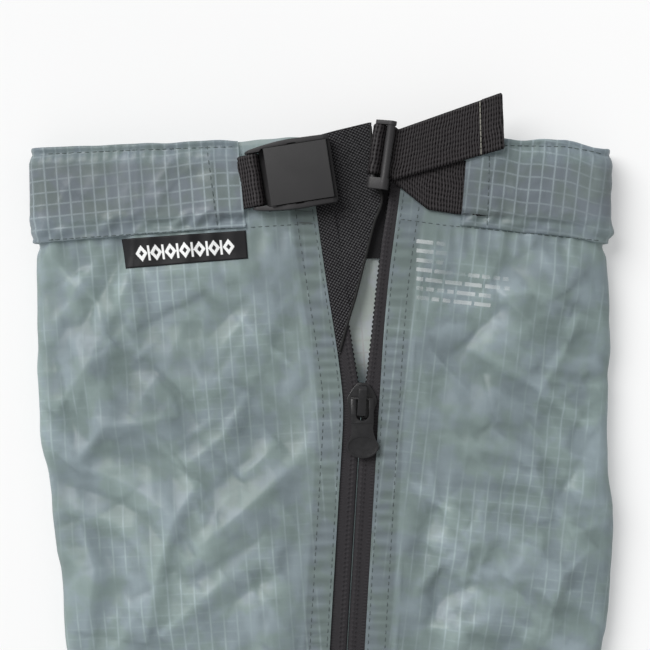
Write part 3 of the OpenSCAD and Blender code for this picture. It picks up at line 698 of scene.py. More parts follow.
def surface_of(*objects):
    """A tree for dropping things on the front of these pieces, in millimetres."""
    points, faces = [], []
    for obj in objects:
        first = len(points)
        points += [v.co / MM for v in obj.data.vertices]
        faces += [[first + i for i in p.vertices] for p in obj.data.polygons]
    return BVHTree.FromPolygons(points, faces)


def height_at(tree, x, d, default=0.0):
    hit = tree.ray_cast(Vector((x, CUFF_Y - d, 60.0)), Vector((0, 0, -1)))[0]
    return default if hit is None else hit.z


def height_at_from(trees, top, x, d):
    """Height of the highest of several surfaces below the level top."""
    hits = [tree.ray_cast(Vector((x, CUFF_Y - max(d, 1), top)), Vector((0, 0, -1)))[0] for tree in trees]
    return max(hit.z for hit in hits if hit is not None)


def dropped(tree, x, d, default=CROWN):
    """Heights of the surface at arrays of places."""
    flat = [height_at(tree, a, b, default) for a, b in zip(np.ravel(x), np.ravel(d))]
    return np.array(flat).reshape(np.shape(x))


SIDES = {-1: "left", 1: "right"}


def build_shells():
    made = {}
    for side, word in SIDES.items():
        points, width, d, painted_shading = shell_grid(side)
        obj = cloth_grid(f"{word}_shell_panel", points, cloth_uv(side, width, d), {"painted_shading": painted_shading}, side < 0)
        dress(obj, SHELL, replaces=[f"{word}_shell"])
        made[side] = obj
    return made


# ---- Bands ----

LEFT_MOUTH = ([0, 35, 60], [-34.4, -31.2, -30])
RIGHT_MOUTH = ([0, 35, 60], [57.2, 54.4, 54])
WEB_TOP, WEB_LOW = 6.5, 27.5      # the webbing's edges inside the cuff's tunnel


def band_rows(first, last, spacing):
    return np.linspace(first, last, round((last - first) / spacing) + 1)


def cuff_band_grid(side):
    """One half of the cuff's outer band: it rolls over the top edge, swells over the webbing in its tunnel,
    bunches above its lower seam and tucks under there."""
    rows = band_rows(0.9, CUFF_H - 0.2, 0.7)
    d = np.concatenate([[1.6, 0.6, 0.05, -0.25, -0.15, 0.3], rows, [CUFF_H, CUFF_H - 0.3]])
    over = np.concatenate([[0.05, 0.08, 0.2, 0.45, 0.8, 1.0], 1.05 + 0 * rows, [0.5, 0.15]])
    mouth = LEFT_MOUTH if side < 0 else RIGHT_MOUTH
    clear = np.clip(d, 0, CUFF_H)
    points, width, normals = leg_half(side, clear, 0.0, from_x=mouth, columns=(150, FOLD_COLS, 60))
    points[..., 1] = CUFF_Y - d[:, None] + 0 * points[..., 1]
    dd = clear[:, None] + 0 * width
    tunnel = smooth(WEB_TOP - 4.5, WEB_TOP, dd) * (1 - smooth(WEB_LOW, WEB_LOW + 3, dd))
    seam_dip = np.exp(-((dd - 2.4) / 0.9) ** 2)
    rise = over[:, None] + 0.95 * tunnel - 0.5 * seam_dip * (over[:, None] > 0.9)
    seed = 51 + side
    bunch = smooth(WEB_LOW - 2, WEB_LOW + 3, dd) * (1 - smooth(CUFF_H - 2.5, CUFF_H - 0.4, dd))
    folds = 0.55 * waves(width + 0.5 * dd, dd * 0.6, seed, (6, 17), 12)
    lengthwise = 0.5 * waves(width * 0.25, dd, seed + 7, (5, 9), 8)
    calm = smooth(CUFF_H, CUFF_H - 3, dd)
    ripple = 0.10 * waves(width, dd, seed + 13, (7, 24), 16) * smooth(3, 8, dd)
    wrinkles = crumple(width, dd, seed + 19, 26, (-116, -34) if side < 0 else (56, 114), (4, 27), (10, 44),
                       (0.1, 0.45), (1.0, 3.2))
    top_pucker = 0.16 * np.sin(2 * math.pi * width / 4.2 + 2 * waves(width, 0 * dd, seed + 23, (14, 40), 5))
    top_pucker *= np.exp(-((dd - 3.2) / 2.6) ** 2)
    height = rise + (bunch * (folds + lengthwise) + ripple + wrinkles + top_pucker) * (over[:, None] > 0.9) * calm
    covering = smooth(WEB_TOP - 2.5, WEB_TOP - 1, dd) * (1 - smooth(WEB_LOW + 1.6, WEB_LOW + 3.4, dd))
    height = np.maximum(height, 0.1 + 1.8 * covering * (over[:, None] > 0.9))
    from_mouth = side * (width - at(mouth, dd))
    height = height + (1.15 if side < 0 else 0.75) * tunnel * (1 - smooth(11, 18, from_mouth))
    points = points + normals * height[:, :, None]
    points = raise_top(points)
    low = np.interp(points[..., 0], *BAND_LOW) - CUFF_H
    points[..., 1] -= low * smooth(22, CUFF_H, dd)
    points[..., 2] = np.maximum(points[..., 2], 0.03)
    return points, width, dd + low * smooth(22, CUFF_H, dd)


def hem_band_grid(side):
    rows = band_rows(HEM_TOP + 0.4, LEG_L - 0.4, 0.8)
    d = np.concatenate([[HEM_TOP + 0.4, HEM_TOP], rows, [LEG_L + 0.2, LEG_L - 0.4]])
    over = np.concatenate([[0.15, 0.5], 1.05 + 0 * rows, [0.6, 0.05]])
    clear = np.clip(d, 0, LEG_L)
    points, width, normals = leg_half(side, clear, 0.0, columns=(120, FOLD_COLS, 60))
    dd = clear[:, None] + 0 * width
    elastic = smooth(HEM_TOP + 1, HEM_TOP + 4, dd) * (1 - smooth(LEG_L - 4, LEG_L - 1, dd))
    gather = 0.42 * np.sin(2 * math.pi * width / 6.5 + 2.2 * waves(width, 0 * dd, 83 + side, (20, 60), 6))
    gather += 0.25 * waves(width, dd * 0.3, 87 + side, (4, 11), 12)
    from_zip = side * (width - at(FRONTS[side], dd))
    rise = over[:, None] + 1.0 * elastic + elastic * gather * smooth(2, 14, from_zip)
    points = points + normals * np.clip(rise, 0.05, 2.7)[:, :, None]
    points[..., 2] = np.maximum(points[..., 2], 0.03)
    return points, width, dd


def build_bands():
    made = {}
    for side, word in SIDES.items():
        for kind, grid, length in (("cuff", cuff_band_grid, CUFF_H + 2),
                                   ("hem", hem_band_grid, LEG_L - HEM_TOP)):
            points, width, d = grid(side)
            obj = cloth_grid(f"{word}_{kind}_band", points, cloth_uv(side, width, d), flip=side < 0)
            dress(obj, BAND, replaces=[f"{kind}_band"])
            made[side, kind] = obj
    return made


def build_facings(trees):
    """Turned-in edges under the shells beside the zip."""
    for side, word in SIDES.items():
        d = np.arange(1.0, LEG_L - 1, 1.4)
        front = at(FRONTS[side], d)[:, None]
        x = front + side * np.linspace(0.15, 10.5, 11)[None]
        dd = d[:, None] + 0 * x
        z = dropped(trees[side], x, np.maximum(dd, 0.5)) - 0.2
        points = raise_top(on_leg(x, dd, z))
        obj = cloth_grid(f"{word}_zip_facing", points, cloth_uv(side, x, dd), flip=side < 0)
        dress(obj, FACING)


def build_lining_painted_light(trees):
    """The coated inner face of the leg's back, which shows through the open zip: a sheet laid over the back panel and
    painted pale, as painted light for the light that brightens it there.
    """
    d = np.arange(0, 109, 1.5)[:, None]
    x = np.linspace(-14, 40, 46)[None] - 0.06 * d
    dd = d + 0 * x
    heights = [[height_at_from(trees, 15.5, a, b) for a, b in zip(*pair)] for pair in zip(x, dd)]
    points = raise_top(on_leg(x, dd, np.array(heights) + 0.3))
    obj = cloth_grid("inner_face_painted_light", points, cloth_uv(-1, x, dd))
    dress(obj, PAINTED_LIGHT_LINING)


# ---- Webbing ----

RIB, STRAND = 1.16, 1.77     # spacing of the webbing's picks along it and of its strands across it


def resample(line, count):
    line = np.asarray(line, float)
    run = np.concatenate([[0], np.cumsum(np.linalg.norm(np.diff(line, axis=0), axis=1))])
    place = np.linspace(0, run[-1], count)
    return np.stack([np.interp(place, run, line[:, k]) for k in range(3)], 1), run[-1]


def webbing(name, near, far, thick=1.3, seed=5, fine=4, across=5):
    """A woven strap between two edge lines: picks and strands stand up from it as real relief."""
    length = 0.5 * (resample(near, 3)[1] + resample(far, 3)[1])
    rows = max(4, round(length / RIB * fine))
    one, _ = resample(near, rows)
    two, _ = resample(far, rows)
    wide = float(np.linalg.norm(one[rows // 2] - two[rows // 2]))
    cols = max(6, round(wide / STRAND * across))
    v = np.linspace(0, 1, cols)[None, :, None]
    middle = one[:, None] * (1 - v) + two[:, None] * v
    u_mm = np.linspace(0, length, rows)[:, None] + 0 * v[..., 0]
    v_mm = v[..., 0] * wide + 0 * u_mm
    rng = np.random.default_rng(seed)
    jitter = 0.10 * rng.standard_normal((rows, cols))
    sway = 0.18 * waves(u_mm, v_mm, seed, (6, 20), 8)
    pick = bars(u_mm + sway, RIB)
    strand = bars(v_mm, STRAND, math.pi * np.floor(u_mm / RIB) % 2 * 0.5)
    pit = pick ** 0.8 * (0.55 + 0.45 * strand)
    # crown is the weave's relief and also the mask of its painted highlight on crowns and painted shade in the pits
    crown = np.clip(1 - 1.12 * pit + jitter, 0, 1)
    rim = np.minimum(v_mm, wide - v_mm)
    taper = np.sqrt(np.clip(rim / 0.7, 0, 1))
    normals = grid_normals(middle)
    half = (thick / 2) * (0.35 + 0.65 * taper)
    relief = 0.16 * (crown - 0.5) * taper
    upper = middle + normals * (half + relief)[:, :, None]
    lower = middle - normals * (half + relief)[:, :, None]
    uv = np.stack([u_mm, v_mm], 2)
    # Toward the strap's rounded edges crown is lowered, painting them darker as painted shade
    return slab_grid(name, upper, lower, uv, {"crown": crown * (0.85 + 0.15 * taper)})


def arc(cx, cz, r, start, stop, count=14):
    turn = np.radians(np.linspace(start, stop, count))
    return [(cx + r * math.cos(t), cz + r * math.sin(t)) for t in turn]


# The buckle's and the ring's own frames: along the strap, then across it
BUCKLE_AXIS = np.array(JOINTS["buckle_swing"]["axis"][:2])
BUCKLE_ANCHOR = joint_place("buckle_swing")
RING_AXIS = np.array(JOINTS["adjuster_tilt"]["axis"][:2])
RING_BAR = joint_place("adjuster_tilt")
WEB_T = 1.3
WEB_HALF = 10.4
RING_STRAP_V, RING_STRAP_HALF = 1.95, 9.95      # where the strap runs along the ring's bars


def build_buckle_loop():
    """The strap's sewn end: out of the left mouth, round the buckle's anchor bar and back into the mouth."""
    across_way = -BUCKLE_AXIS
    along_way = np.array([across_way[1], -across_way[0]])
    cx, cz, r = 0.0, BUCKLE_ANCHOR[2], 1.5 + WEB_T / 2 + 0.08
    path = [(-8.6, 19.7), (-6.6, 19.8), (-4.4, 20.25)] + arc(cx, cz, r, -118, 118, 22)
    path += [(-4.4, 22.5), (-6.4, 21.4), (-8.6, 20.95)]
    edges = []
    for half in (WEB_HALF, -WEB_HALF):
        edges.append([(*(BUCKLE_ANCHOR[:2] + along_way * u + across_way * half), z) for u, z in path])
    obj = webbing("buckle_strap_loop", edges[0], edges[1], thick=1.15, seed=6)
    return dress(obj, WEBBING, replaces=["buckle_loop"])


def build_strap_tail():
    """The strap's free end: out of the right mouth, round the ring's left bar, under its grip and off to
    the right, with its last stretch turned back on itself."""
    across_way = -RING_AXIS
    along_way = np.array([across_way[1], -across_way[0]])
    bar = RING_BAR[:2]
    cz, r = RING_BAR[2], 1.1 + WEB_T / 2 + 0.08

    def ring_edge(sign, u, z):
        return (*(bar + along_way * u + across_way * (RING_STRAP_V + sign * RING_STRAP_HALF)), z)

    edges = []
    # One row for each edge of the strap: where it leaves the mouth, where it bends, and its tip
    for sign, mouth, knee, tip in ((1, (59.5, 5.6), (29.6, -6.7), (69.9, -20.9)),
                                   (-1, (59.5, 26.8), (27.6, 13.6), (71.0, 1.3))):
        line = [(mouth[0], CUFF_Y - mouth[1], 19.8), (mouth[0] - 6, CUFF_Y - mouth[1] + 0.3 * sign, 20.1),
                (mouth[0] - 18, CUFF_Y - mouth[1] + (4.8 if sign > 0 else 1.6), 20.3)]
        line += [ring_edge(sign, 5.6, 20.3), ring_edge(sign, 2.2, 20.9)]
        line += [ring_edge(sign, u, z) for u, z in arc(0, cz, r, -80, -300, 18)]
        line += [ring_edge(sign, 2.6, 23.3), ring_edge(sign, 4.6, 22.5), ring_edge(sign, 6.6, 22.3)]
        knee, tip = np.array(knee), np.array(tip)
        line += [(*(knee * [1, -1] + [0, CUFF_Y]), 22.35)]
        way = (tip - knee) / np.linalg.norm(tip - knee)

        def tail_point(back, z):
            p = tip - way * back
            return (p[0], CUFF_Y - p[1], z)
        line += [tail_point(20, 22.5), tail_point(9, 22.8), tail_point(1.0, 23.0)]
        line += [(*tail_point(0.35 - u, 0)[:2], z) for u, z in arc(0, 23.75, 0.75, -80, 80, 7)]
        line += [tail_point(1.0, 24.45), tail_point(4, 24.4), tail_point(7.6, 24.25)]
        edges.append(line)
    # Both edges are cut into the same number of stretches, so that a rib joins like places on the two
    obj = webbing_between("strap_free_end", edges[0], edges[1])
    dress(obj, WEBBING, replaces=["strap_tail"])
    # Pale row of stitches beside the turned-back end
    near, far = np.array([62.0, -17.7]), np.array([62.5, 3.5])
    dashes = []
    for k in range(9):
        p, q = near + (far - near) * (k + 0.02) / 9, near + (far - near) * (k + 0.97) / 9
        line = [p + (q - p) * t for t in np.linspace(0, 1, 7)]
        rise = 23.62 + 0.14 * np.sin(np.linspace(0, math.pi, 7))
        dashes.append([(a[0], CUFF_Y - a[1], h) for a, h in zip(line, rise)])
    stitches = tubes("strap_end_stitches", dashes, 0.27, 6, 0.7)
    dress(stitches, PALE_THREAD)


def webbing_between(name, near, far, seed=9):
    """webbing() with its rows spread stretch by stretch, for edge lines whose stretches differ in length."""
    near, far = np.array(near, float), np.array(far, float)
    steps = 0.5 * (np.linalg.norm(np.diff(near, axis=0), axis=1) + np.linalg.norm(np.diff(far, axis=0), axis=1))
    one, two = [near[0]], [far[0]]
    for i, step in enumerate(steps):
        count = max(1, round(step / RIB * 4))
        for k in range(1, count + 1):
            one.append(near[i] + (near[i + 1] - near[i]) * k / count)
            two.append(far[i] + (far[i + 1] - far[i]) * k / count)
    return webbing(name, soften(one), soften(two), seed=seed)


def soften(line, rounds=3):
    line = np.array(line, float)
    for _ in range(rounds):
        line[1:-1] = 0.25 * line[:-2] + 0.5 * line[1:-1] + 0.25 * line[2:]
    return line


def build_tunnel_strap():
    """The strap's hidden run round the back, inside the cuff's tunnel."""
    edges = []
    for d in (WEB_TOP, WEB_LOW):
        rows = [d, d + 0.01]
        left = leg_half(-1, rows, 0.9, from_x=([0, 60], [-39, -39]), columns=(40, 14, 40))[0][0]
        right = leg_half(1, rows, 0.9, from_x=([0, 60], [59.3, 59.3]), columns=(40, 14, 40))[0][0]
        line = np.concatenate([left, right[::-1][1:]])
        line[:, 1] = CUFF_Y - d
        edges.append(line)
    obj = webbing("tunnel_strap", edges[0], edges[1], thick=1.2, seed=7, fine=3, across=3)
    return dress(obj, WEBBING, replaces=["cuff_strap"])


def build_hook_tab():
    hook = joint_place("hook_swing")
    down = np.array(JOINTS["zip_slide"]["axis"][:2])
    side = np.array([-down[1], down[0]])
    cz, r = hook[2], 1.05 + 0.55
    path = [(-19.4, CROWN + 0.75), (-12, CROWN + 0.85), (-3, CROWN + 0.7)] + arc(0, cz, r, -110, 110, 18)
    path += [(-3, CROWN + 2.5), (-8, CROWN + 2.2), (-17, CROWN + 2.05)]
    edges = [[(*(hook[:2] + down * u + side * half), z) for u, z in path] for half in (4.9, -4.9)]
    obj = webbing("hook_webbing_tab", edges[0], edges[1], thick=1.1, seed=12)
    return dress(obj, WEBBING, replaces=["hook_tab"])


def build_instep_tabs():
    """Round-ended webbing tabs under the hem, each with a hole for its eyelet."""
    for word in SIDES.values():
        low, high = box_mm(f"{word}_instep_tab")
        eye_low, eye_high = box_mm(f"{word}_eyelet")
        centre = (eye_low[:2] + eye_high[:2]) / 2
        hole = 3.15
        half_w = (high[0] - low[0]) / 2
        top = high[1] - centre[1]
        rings, around = 14, 96
        turn = np.linspace(0, 2 * math.pi, around, endpoint=False)
        rim = []
        for t in turn:
            c, s = math.cos(t), math.sin(t)
            reach = half_w if s <= 0 else min(half_w / max(abs(c), 1e-6), top / max(s, 1e-6))
            rim.append((reach * c, reach * s))
        rim = np.array(rim)
        inner = hole * np.stack([np.cos(turn), np.sin(turn)], 1)
        t = np.linspace(0, 1, rings)[:, None, None]
        flat = inner[None] * (1 - t) + rim[None] * t
        x, y = flat[..., 0], flat[..., 1]
        strand = 0.55 + 0.45 * np.cos(2 * math.pi * x / STRAND)
        # crown shapes the weave and paints it lighter on the picks' crowns and darker in the pits: painted highlight
        # and painted shade
        crown = np.clip(1 - 1.1 * bars(y, RIB) * strand, 0, 1)
        edge = 1 - 0.5 * (np.linspace(0, 1, rings)[:, None] > 0.97)
        z = (low[2] + high[2]) / 2
        thick = (high[2] - low[2]) / 2
        up = np.stack([centre[0] + x, centre[1] + y, z + thick * edge + 0.12 * (crown - 0.5)], 2)
        down = np.stack([centre[0] + x, centre[1] + y, z - thick * edge - 0.12 * (crown - 0.5)], 2)
        faces, n = [], rings * around
        for i in range(rings - 1):
            for k in range(around):
                m = (k + 1) % around
                a, b, c, e = i * around + k, (i + 1) * around + k, (i + 1) * around + m, i * around + m
                faces += [(a, b, c, e), (n + e, n + c, n + b, n + a)]
        for k in range(around):
            m = (k + 1) % around
            faces.append((k, m, n + m, n + k))
            last = (rings - 1) * around
            faces.append((last + m, last + k, n + last + k, n + last + m))
        both = np.concatenate([up.reshape(-1, 3), down.reshape(-1, 3)])
        obj = add_mesh(f"{word}_instep_webbing", both, faces, values={"crown": np.tile(crown.ravel(), 2)})
        dress(obj, WEBBING, replaces=[f"{word}_instep_tab"])


# ---- Storm gusset ----

def build_gusset():
    """Woven panel over the left tape and across the open zip: slanting rows of raised yarn, and a bound
    free edge."""
    top = box_mm("storm_gusset")[1][2]
    points = node_points("storm_gusset")
    corners = points[np.abs(points[:, 2] - top) < 0.05]
    d_all, x_all = CUFF_Y - corners[:, 1], corners[:, 0]
    shell_side = at(FRONTS[-1], d_all)
    free = (x_all > shell_side + 1.5) & ~((d_all < 0) & (x_all < 18.5)) | (d_all > 83)
    order = np.argsort(d_all[free])
    free_line = d_all[free][order], x_all[free][order]
    head = (d_all < -3) & (x_all < 18.5)
    order = np.argsort(x_all[head])
    head_line = x_all[head][order], d_all[head][order]
    t = np.linspace(0, 1, 110)[None]
    d = np.arange(-9.9, d_all.max() - 0.2, 0.3)[:, None]
    x1 = np.interp(d, *free_line) + 2.8 * smooth(8, 21, d) * (1 - smooth(21, 33, d))
    x0 = np.minimum(at(FRONTS[-1], d) - 5.5, x1 - 0.4)
    x = x0 + (x1 - x0) * t
    d = np.maximum(d + 0 * x, np.interp(x, *head_line))
    yarn = bars(x + 0.62 * d, 1.25) * bars(d - 0.45 * x, 1.15)
    rng = np.random.default_rng(31)
    # crown raises the yarn and also paints it lighter on its rows and darker between them: painted highlight and
    # painted shade
    crown = np.clip(1.25 * yarn + 0.10 * rng.standard_normal(yarn.shape), 0, 1)
    under = 1 - smooth(-1.5, 1.5, x - at(FRONTS[-1], d))
    loose = smooth(2, 10, x - at(FRONTS[-1], d)) * smooth(80, 40, d)
    sag = loose * np.clip(0.3 * waves(x, d, 33, (24, 60), 8) - 0.25, -0.9, 0.1)
    z = top - 0.12 - 0.2 * under + 0.13 * (crown - 0.5) + sag * (x > zip_edge(-1, d) + 1)
    up = on_leg(x, d, z)
    down = on_leg(x, d, z - 0.28 - 0.08 * crown)
    obj = slab_grid("storm_gusset_panel", up, down, np.stack([x, d], 2), {"crown": crown})
    dress(obj, GUSSET_YARN, replaces=["storm_gusset"])
    # Binding folded over the free edge
    run = np.arange(-8.6, 82.0, 0.5)
    edge = np.interp(run, *free_line) + 2.8 * smooth(8, 21, run) * (1 - smooth(21, 33, run))
    line = np.stack([edge - 0.35, CUFF_Y - run, 0 * run + top - 0.2], 1)
    binding = tubes("gusset_binding", [line], 0.55, 8, 0.55)
    dress(binding, DARK_THREAD)
    # Behind the zip the panel folds back under itself towards the right tape
    d = np.arange(6, 45, 1.2)[:, None]
    t = np.linspace(0, 1, 24)[None]
    x0, x1 = np.interp(d, *free_line) - 5, zip_edge(1, d) + 3.2
    x = x0 + (x1 - x0) * t
    dd = d + 1.8 * (t - 0.6) + 0.5 * np.sin(5 * t)
    z = COIL_LOW - 0.55 + 0.12 * waves(x, dd, 37, (9, 24), 8)
    fold = cloth_grid("gusset_under_fold", on_leg(x, dd, z), np.stack([x, dd], 2))
    dress(fold, GUSSET_FOLD)


# ---- Zip ----

CHAIN = 1.86       # pitch of the coil's turns and of the stitches that hold it


def zip_edge(side, d):
    table = LEFT_TEETH if side < 0 else RIGHT_TEETH
    return at(table, d)


def build_zip():
    for side, word in SIDES.items():
        d = np.arange(-1, LEG_L, CHAIN / 4)
        teeth = zip_edge(side, d)
        closed = smooth(96, 108, d)
        inner = teeth + side * (0.55 - 0.42 * closed)
        outer = teeth + side * 16.2
        t = np.concatenate([np.linspace(0, 0.32, 17), np.linspace(0.38, 1, 9)])[None]
        x = inner[:, None] + (outer - inner)[:, None] * t
        dd = d[:, None] + 0 * x
        from_edge = np.abs(x - teeth[:, None])
        phase = np.cos(2 * math.pi * dd / CHAIN)
        chain = np.exp(-((from_edge - 1.75) / 0.42) ** 2) * (0.55 + 0.45 * phase)
        second = np.exp(-((from_edge - 2.95) / 0.36) ** 2) * bars(dd, CHAIN, math.pi)
        twill_line = bars(x + side * dd * 0.9, 1.05)
        bead = np.clip(chain + 0.7 * second, 0, 1)
        valley = 0.3 * np.exp(-(from_edge / 0.5) ** 2)
        covered = 0.22 * smooth(8, 10.5, from_edge)
        z = TAPE_TOP - 0.2 + 0.24 * bead + 0.06 * twill_line - valley - covered
        up = on_leg(x, dd, z)
        down = on_leg(x, dd, TAPE_LOW + 0.02)
        # crown paints the tape lighter on the stitch beads and twill and darker in the valley beside the teeth:
        # painted highlight and painted shade
        crown = np.clip(0.42 + 0.45 * twill_line * (1 - bead) + 0.45 * bead * phase - 1.5 * valley, 0, 1)
        obj = slab_grid(f"{word}_tape", up, down, np.stack([x, dd], 2), {"crown": crown})
        dress(obj, TAPE_YARN, replaces=[f"{word}_zip_tape"])
        coil_box = box_mm(f"{word}_zip_coil")
        first, last = CUFF_Y - coil_box[1][1], CUFF_Y - coil_box[0][1]
        count = int((last - first) / CHAIN)
        turns = np.arange(0, count, 1 / 14)
        run = first + turns * CHAIN
        angle = 2 * math.pi * turns
        centre = zip_edge(side, run) + side * 1.5
        line = np.stack([centre - side * 1.08 * np.cos(angle), CUFF_Y - run - 0.3 * np.sin(angle),
                         COIL_LOW + 1.1 + 0.72 * np.sin(angle)], 1)
        obj = tubes(f"{word}_coil", [line], 0.36, 5)
        dress(obj, COIL, replaces=[f"{word}_zip_coil"])


# ---- Stitching ----

def stitch_rows(name, tree, rows, material, pitch=3.0, stitch=2.1, radius=0.17, lift=0.1, seed=3):
    """Rows of lockstitch: dashes of thread that lie on the cloth and dip into it at their ends."""
    rng = np.random.default_rng(seed)
    dashes = []
    for row in rows:
        row = np.array([(x, d, 0) for x, d in row], float)
        run = np.concatenate([[0], np.cumsum(np.linalg.norm(np.diff(row, axis=0), axis=1))])
        place = rng.uniform(0, 0.5)
        while place + stitch < run[-1]:
            s = np.linspace(place, place + stitch * rng.uniform(0.85, 1.1), 6)
            x, d = np.interp(s, run, row[:, 0]), np.interp(s, run, row[:, 1])
            dip = np.array([-0.16, 0.02, 0.06, 0.06, 0.02, -0.16])
            z = [height_at(tree, a, b, CROWN) for a, b in zip(x, d)]
            z = np.median(z) + 0.6 * (np.array(z) - np.median(z)) + lift + dip
            dashes.append(np.stack([x, CUFF_Y - d, z], 1))
            place += pitch * rng.uniform(0.9, 1.1)
    return dress(tubes(name, dashes, radius, 6, 0.8), material)


def between(start, stop, count=40):
    """Evenly spread points from start to stop."""
    return [tuple(a + (b - a) * i / (count - 1) for a, b in zip(start, stop)) for i in range(count)]


def build_stitches(trees, band_trees):
    for side, word in SIDES.items():
        mouth = LEFT_MOUTH if side < 0 else RIGHT_MOUTH
        xs = np.linspace(at(mouth, 2.4) + side * 2.2, side * 113, 90)
        top = [(x, np.interp(x, *TOP_LINE) + 2.4) for x in xs]
        xs = np.linspace(at(mouth, 33) + side * 2.4, side * 112.5, 90)
        seam = [(x, np.interp(x, *BAND_LOW) - 0.9) for x in xs]
        posts = between((-46.8, -0.5), (-42.6, 31.8)) if side < 0 else between((66.0, 0.5), (65.2, 32.0))
        stitch_rows(f"{word}_band_stitches", band_trees[side], [top, seam, posts], THREAD, 2.9, 2.1, 0.17,
                    seed=61 + side)
        d = np.arange(1, LEG_L - 2, 4.0)
        front = at(FRONTS[side], d)
        rows = [[(x + side * inset, q) for x, q in zip(front, d)] for inset in (1.2, 8.0)]
        start = at(FRONTS[side], 30) + side * 1.5
        rows.append([(x, np.interp(x, *BAND_LOW) - 0.8) for x in np.linspace(start, at(mouth, 33), 20)])
        stitch_rows(f"{word}_zip_stitches", trees[side], rows, THREAD, 2.9, 1.7, 0.15, seed=65 + side)
        rows = [[(x, q) for x in np.linspace(at(FRONTS[side], q) + side * 3, side * 98, 70)]
                for q in (HEM_TOP + 1.6, LEG_L - 2.2)]
        stitch_rows(f"{word}_hem_stitches", band_trees[side], rows, THREAD, 3.1, 2.2, 0.16,
                    seed=69 + side)


# ---- Label and care print ----

def build_label(tree):
    """Black woven label under the cuff's seam, with a generic row of diamonds and bars."""
    corners = np.array([(-81.5, 36.7), (-31.3, 33.3), (-30.4, 44.6), (-79.6, 48.6)])
    rows, cols = 56, 220
    i, j = np.linspace(0, 1, rows)[:, None], np.linspace(0, 1, cols)[None]
    x, d = [(a * (1 - j) + b * j) * (1 - i) + (e * (1 - j) + c * j) * i for a, b, c, e in corners.T]
    z = dropped(tree, x, d)
    z = np.maximum(blurred(z, 30), z) + 0.18
    wide, tall = 50.3, 11.7
    u, v = j * wide - wide / 2 + 0 * i, i * tall - tall / 2 + 0 * j
    v = v - 0.4
    motif = np.zeros(x.shape)
    half_h, pitch = 3.1, 5.9
    for k in range(-3, 4):
        du = np.abs(u - k * pitch)
        diamond = du / 2.3 + np.abs(v) / half_h
        motif = np.maximum(motif, (diamond < 1.06) & (diamond > 0.40))
        bar = (np.abs(np.abs(u - (k + 0.5) * pitch)) < 0.46) & (np.abs(v) < half_h - 0.1)
        if k < 3:
            motif = np.maximum(motif, bar)
    # rib is the weave's relief and also the mask of the painted highlight on its ribs
    rib = bars(v, 0.42)
    edge = np.minimum(np.minimum(u + wide / 2, wide / 2 - u), np.minimum(v + 0.4 + tall / 2, tall / 2 - v - 0.4))
    z_up = z + 0.35 + 0.05 * rib + 0.1 * motif - 0.25 * (edge < 0.25)
    up = on_leg(x, d, z_up)
    down = on_leg(x, d, z)
    obj = slab_grid("woven_label_cloth", up, down, np.stack([x, d], 2), {"motif": motif, "crown": rib})
    dress(obj, LABEL, replaces=["woven_label"])


def build_care_print(tree):
    """Seven faded lines of a care notice, as plain dashes without any lettering."""
    rng = np.random.default_rng(77)
    points, faces, fade = [], [], []
    for k in range(7):
        x, end = 37.0, [50.5, 50, 49.5, 75, 74.5, 67, 68][k]
        while x < end:
            word = min(rng.uniform(2.2, 8.0), end - x)
            if word > 1.2:
                n = max(2, int(word / 0.5))
                base = len(points)
                for m in range(n + 1):
                    px = x + word * m / n
                    pd = 37.6 + 3.75 * k + (px - 37) * math.tan(math.radians(6.2))
                    for h in (-0.78, 0.78):
                        points.append((px - h * 0.1, CUFF_Y - pd - h, height_at(tree, px, pd + h, CROWN) + 0.09))
                        fade.append(1 - smooth(42, 50, px) * (1 - smooth(56, 60, px)) * (0.75 if k < 4 else 0.2))
                for m in range(n):
                    faces.append((base + 2 * m, base + 2 * m + 2, base + 2 * m + 3, base + 2 * m + 1))
            x += word + rng.uniform(0.9, 1.6)
    obj = add_mesh("care_print", points, faces, values={"fade": fade})
    dress(obj, PRINT)


def label_material():
    n = Nodes("label_weave")
    fibre = n.noise(n.place(), 2400.0, 2.0, 0.7)
    # Painted highlight on the label's ribs and painted shade between them: the dark yarn's colour follows the rib
    dark = n.mix(n.attribute("crown"), (0.006, 0.006, 0.007), (0.016, 0.016, 0.018))
    shade = n.mix(n.ramp(n.attribute("motif"), 0.35, 0.65), dark, (0.80, 0.81, 0.81))
    return n.finish(n.surface(shade, 0.55, n.bump(fibre, 0.4, 0.0001), 0.22))


def print_material():
    n = Nodes("care_print_ink")
    worn = n.ramp(n.noise(n.place(), 90.0, 3.0), 0.36, 0.56, 0.35, 1.0)
    cover = n.math("MULTIPLY", worn, n.attribute("fade"))
    ink = n.add("BsdfPrincipled", Base_Color=(0.70, 0.74, 0.75, 1), Roughness=0.7)
    see = n.add("BsdfTransparent")
    return n.finish(n.mix_shader(n.math("MULTIPLY", cover, 0.5), see.outputs[0], ink.outputs[0]))


LABEL = label_material()
PRINT = print_material()


# ---- Small parts and kept CAD pieces ----

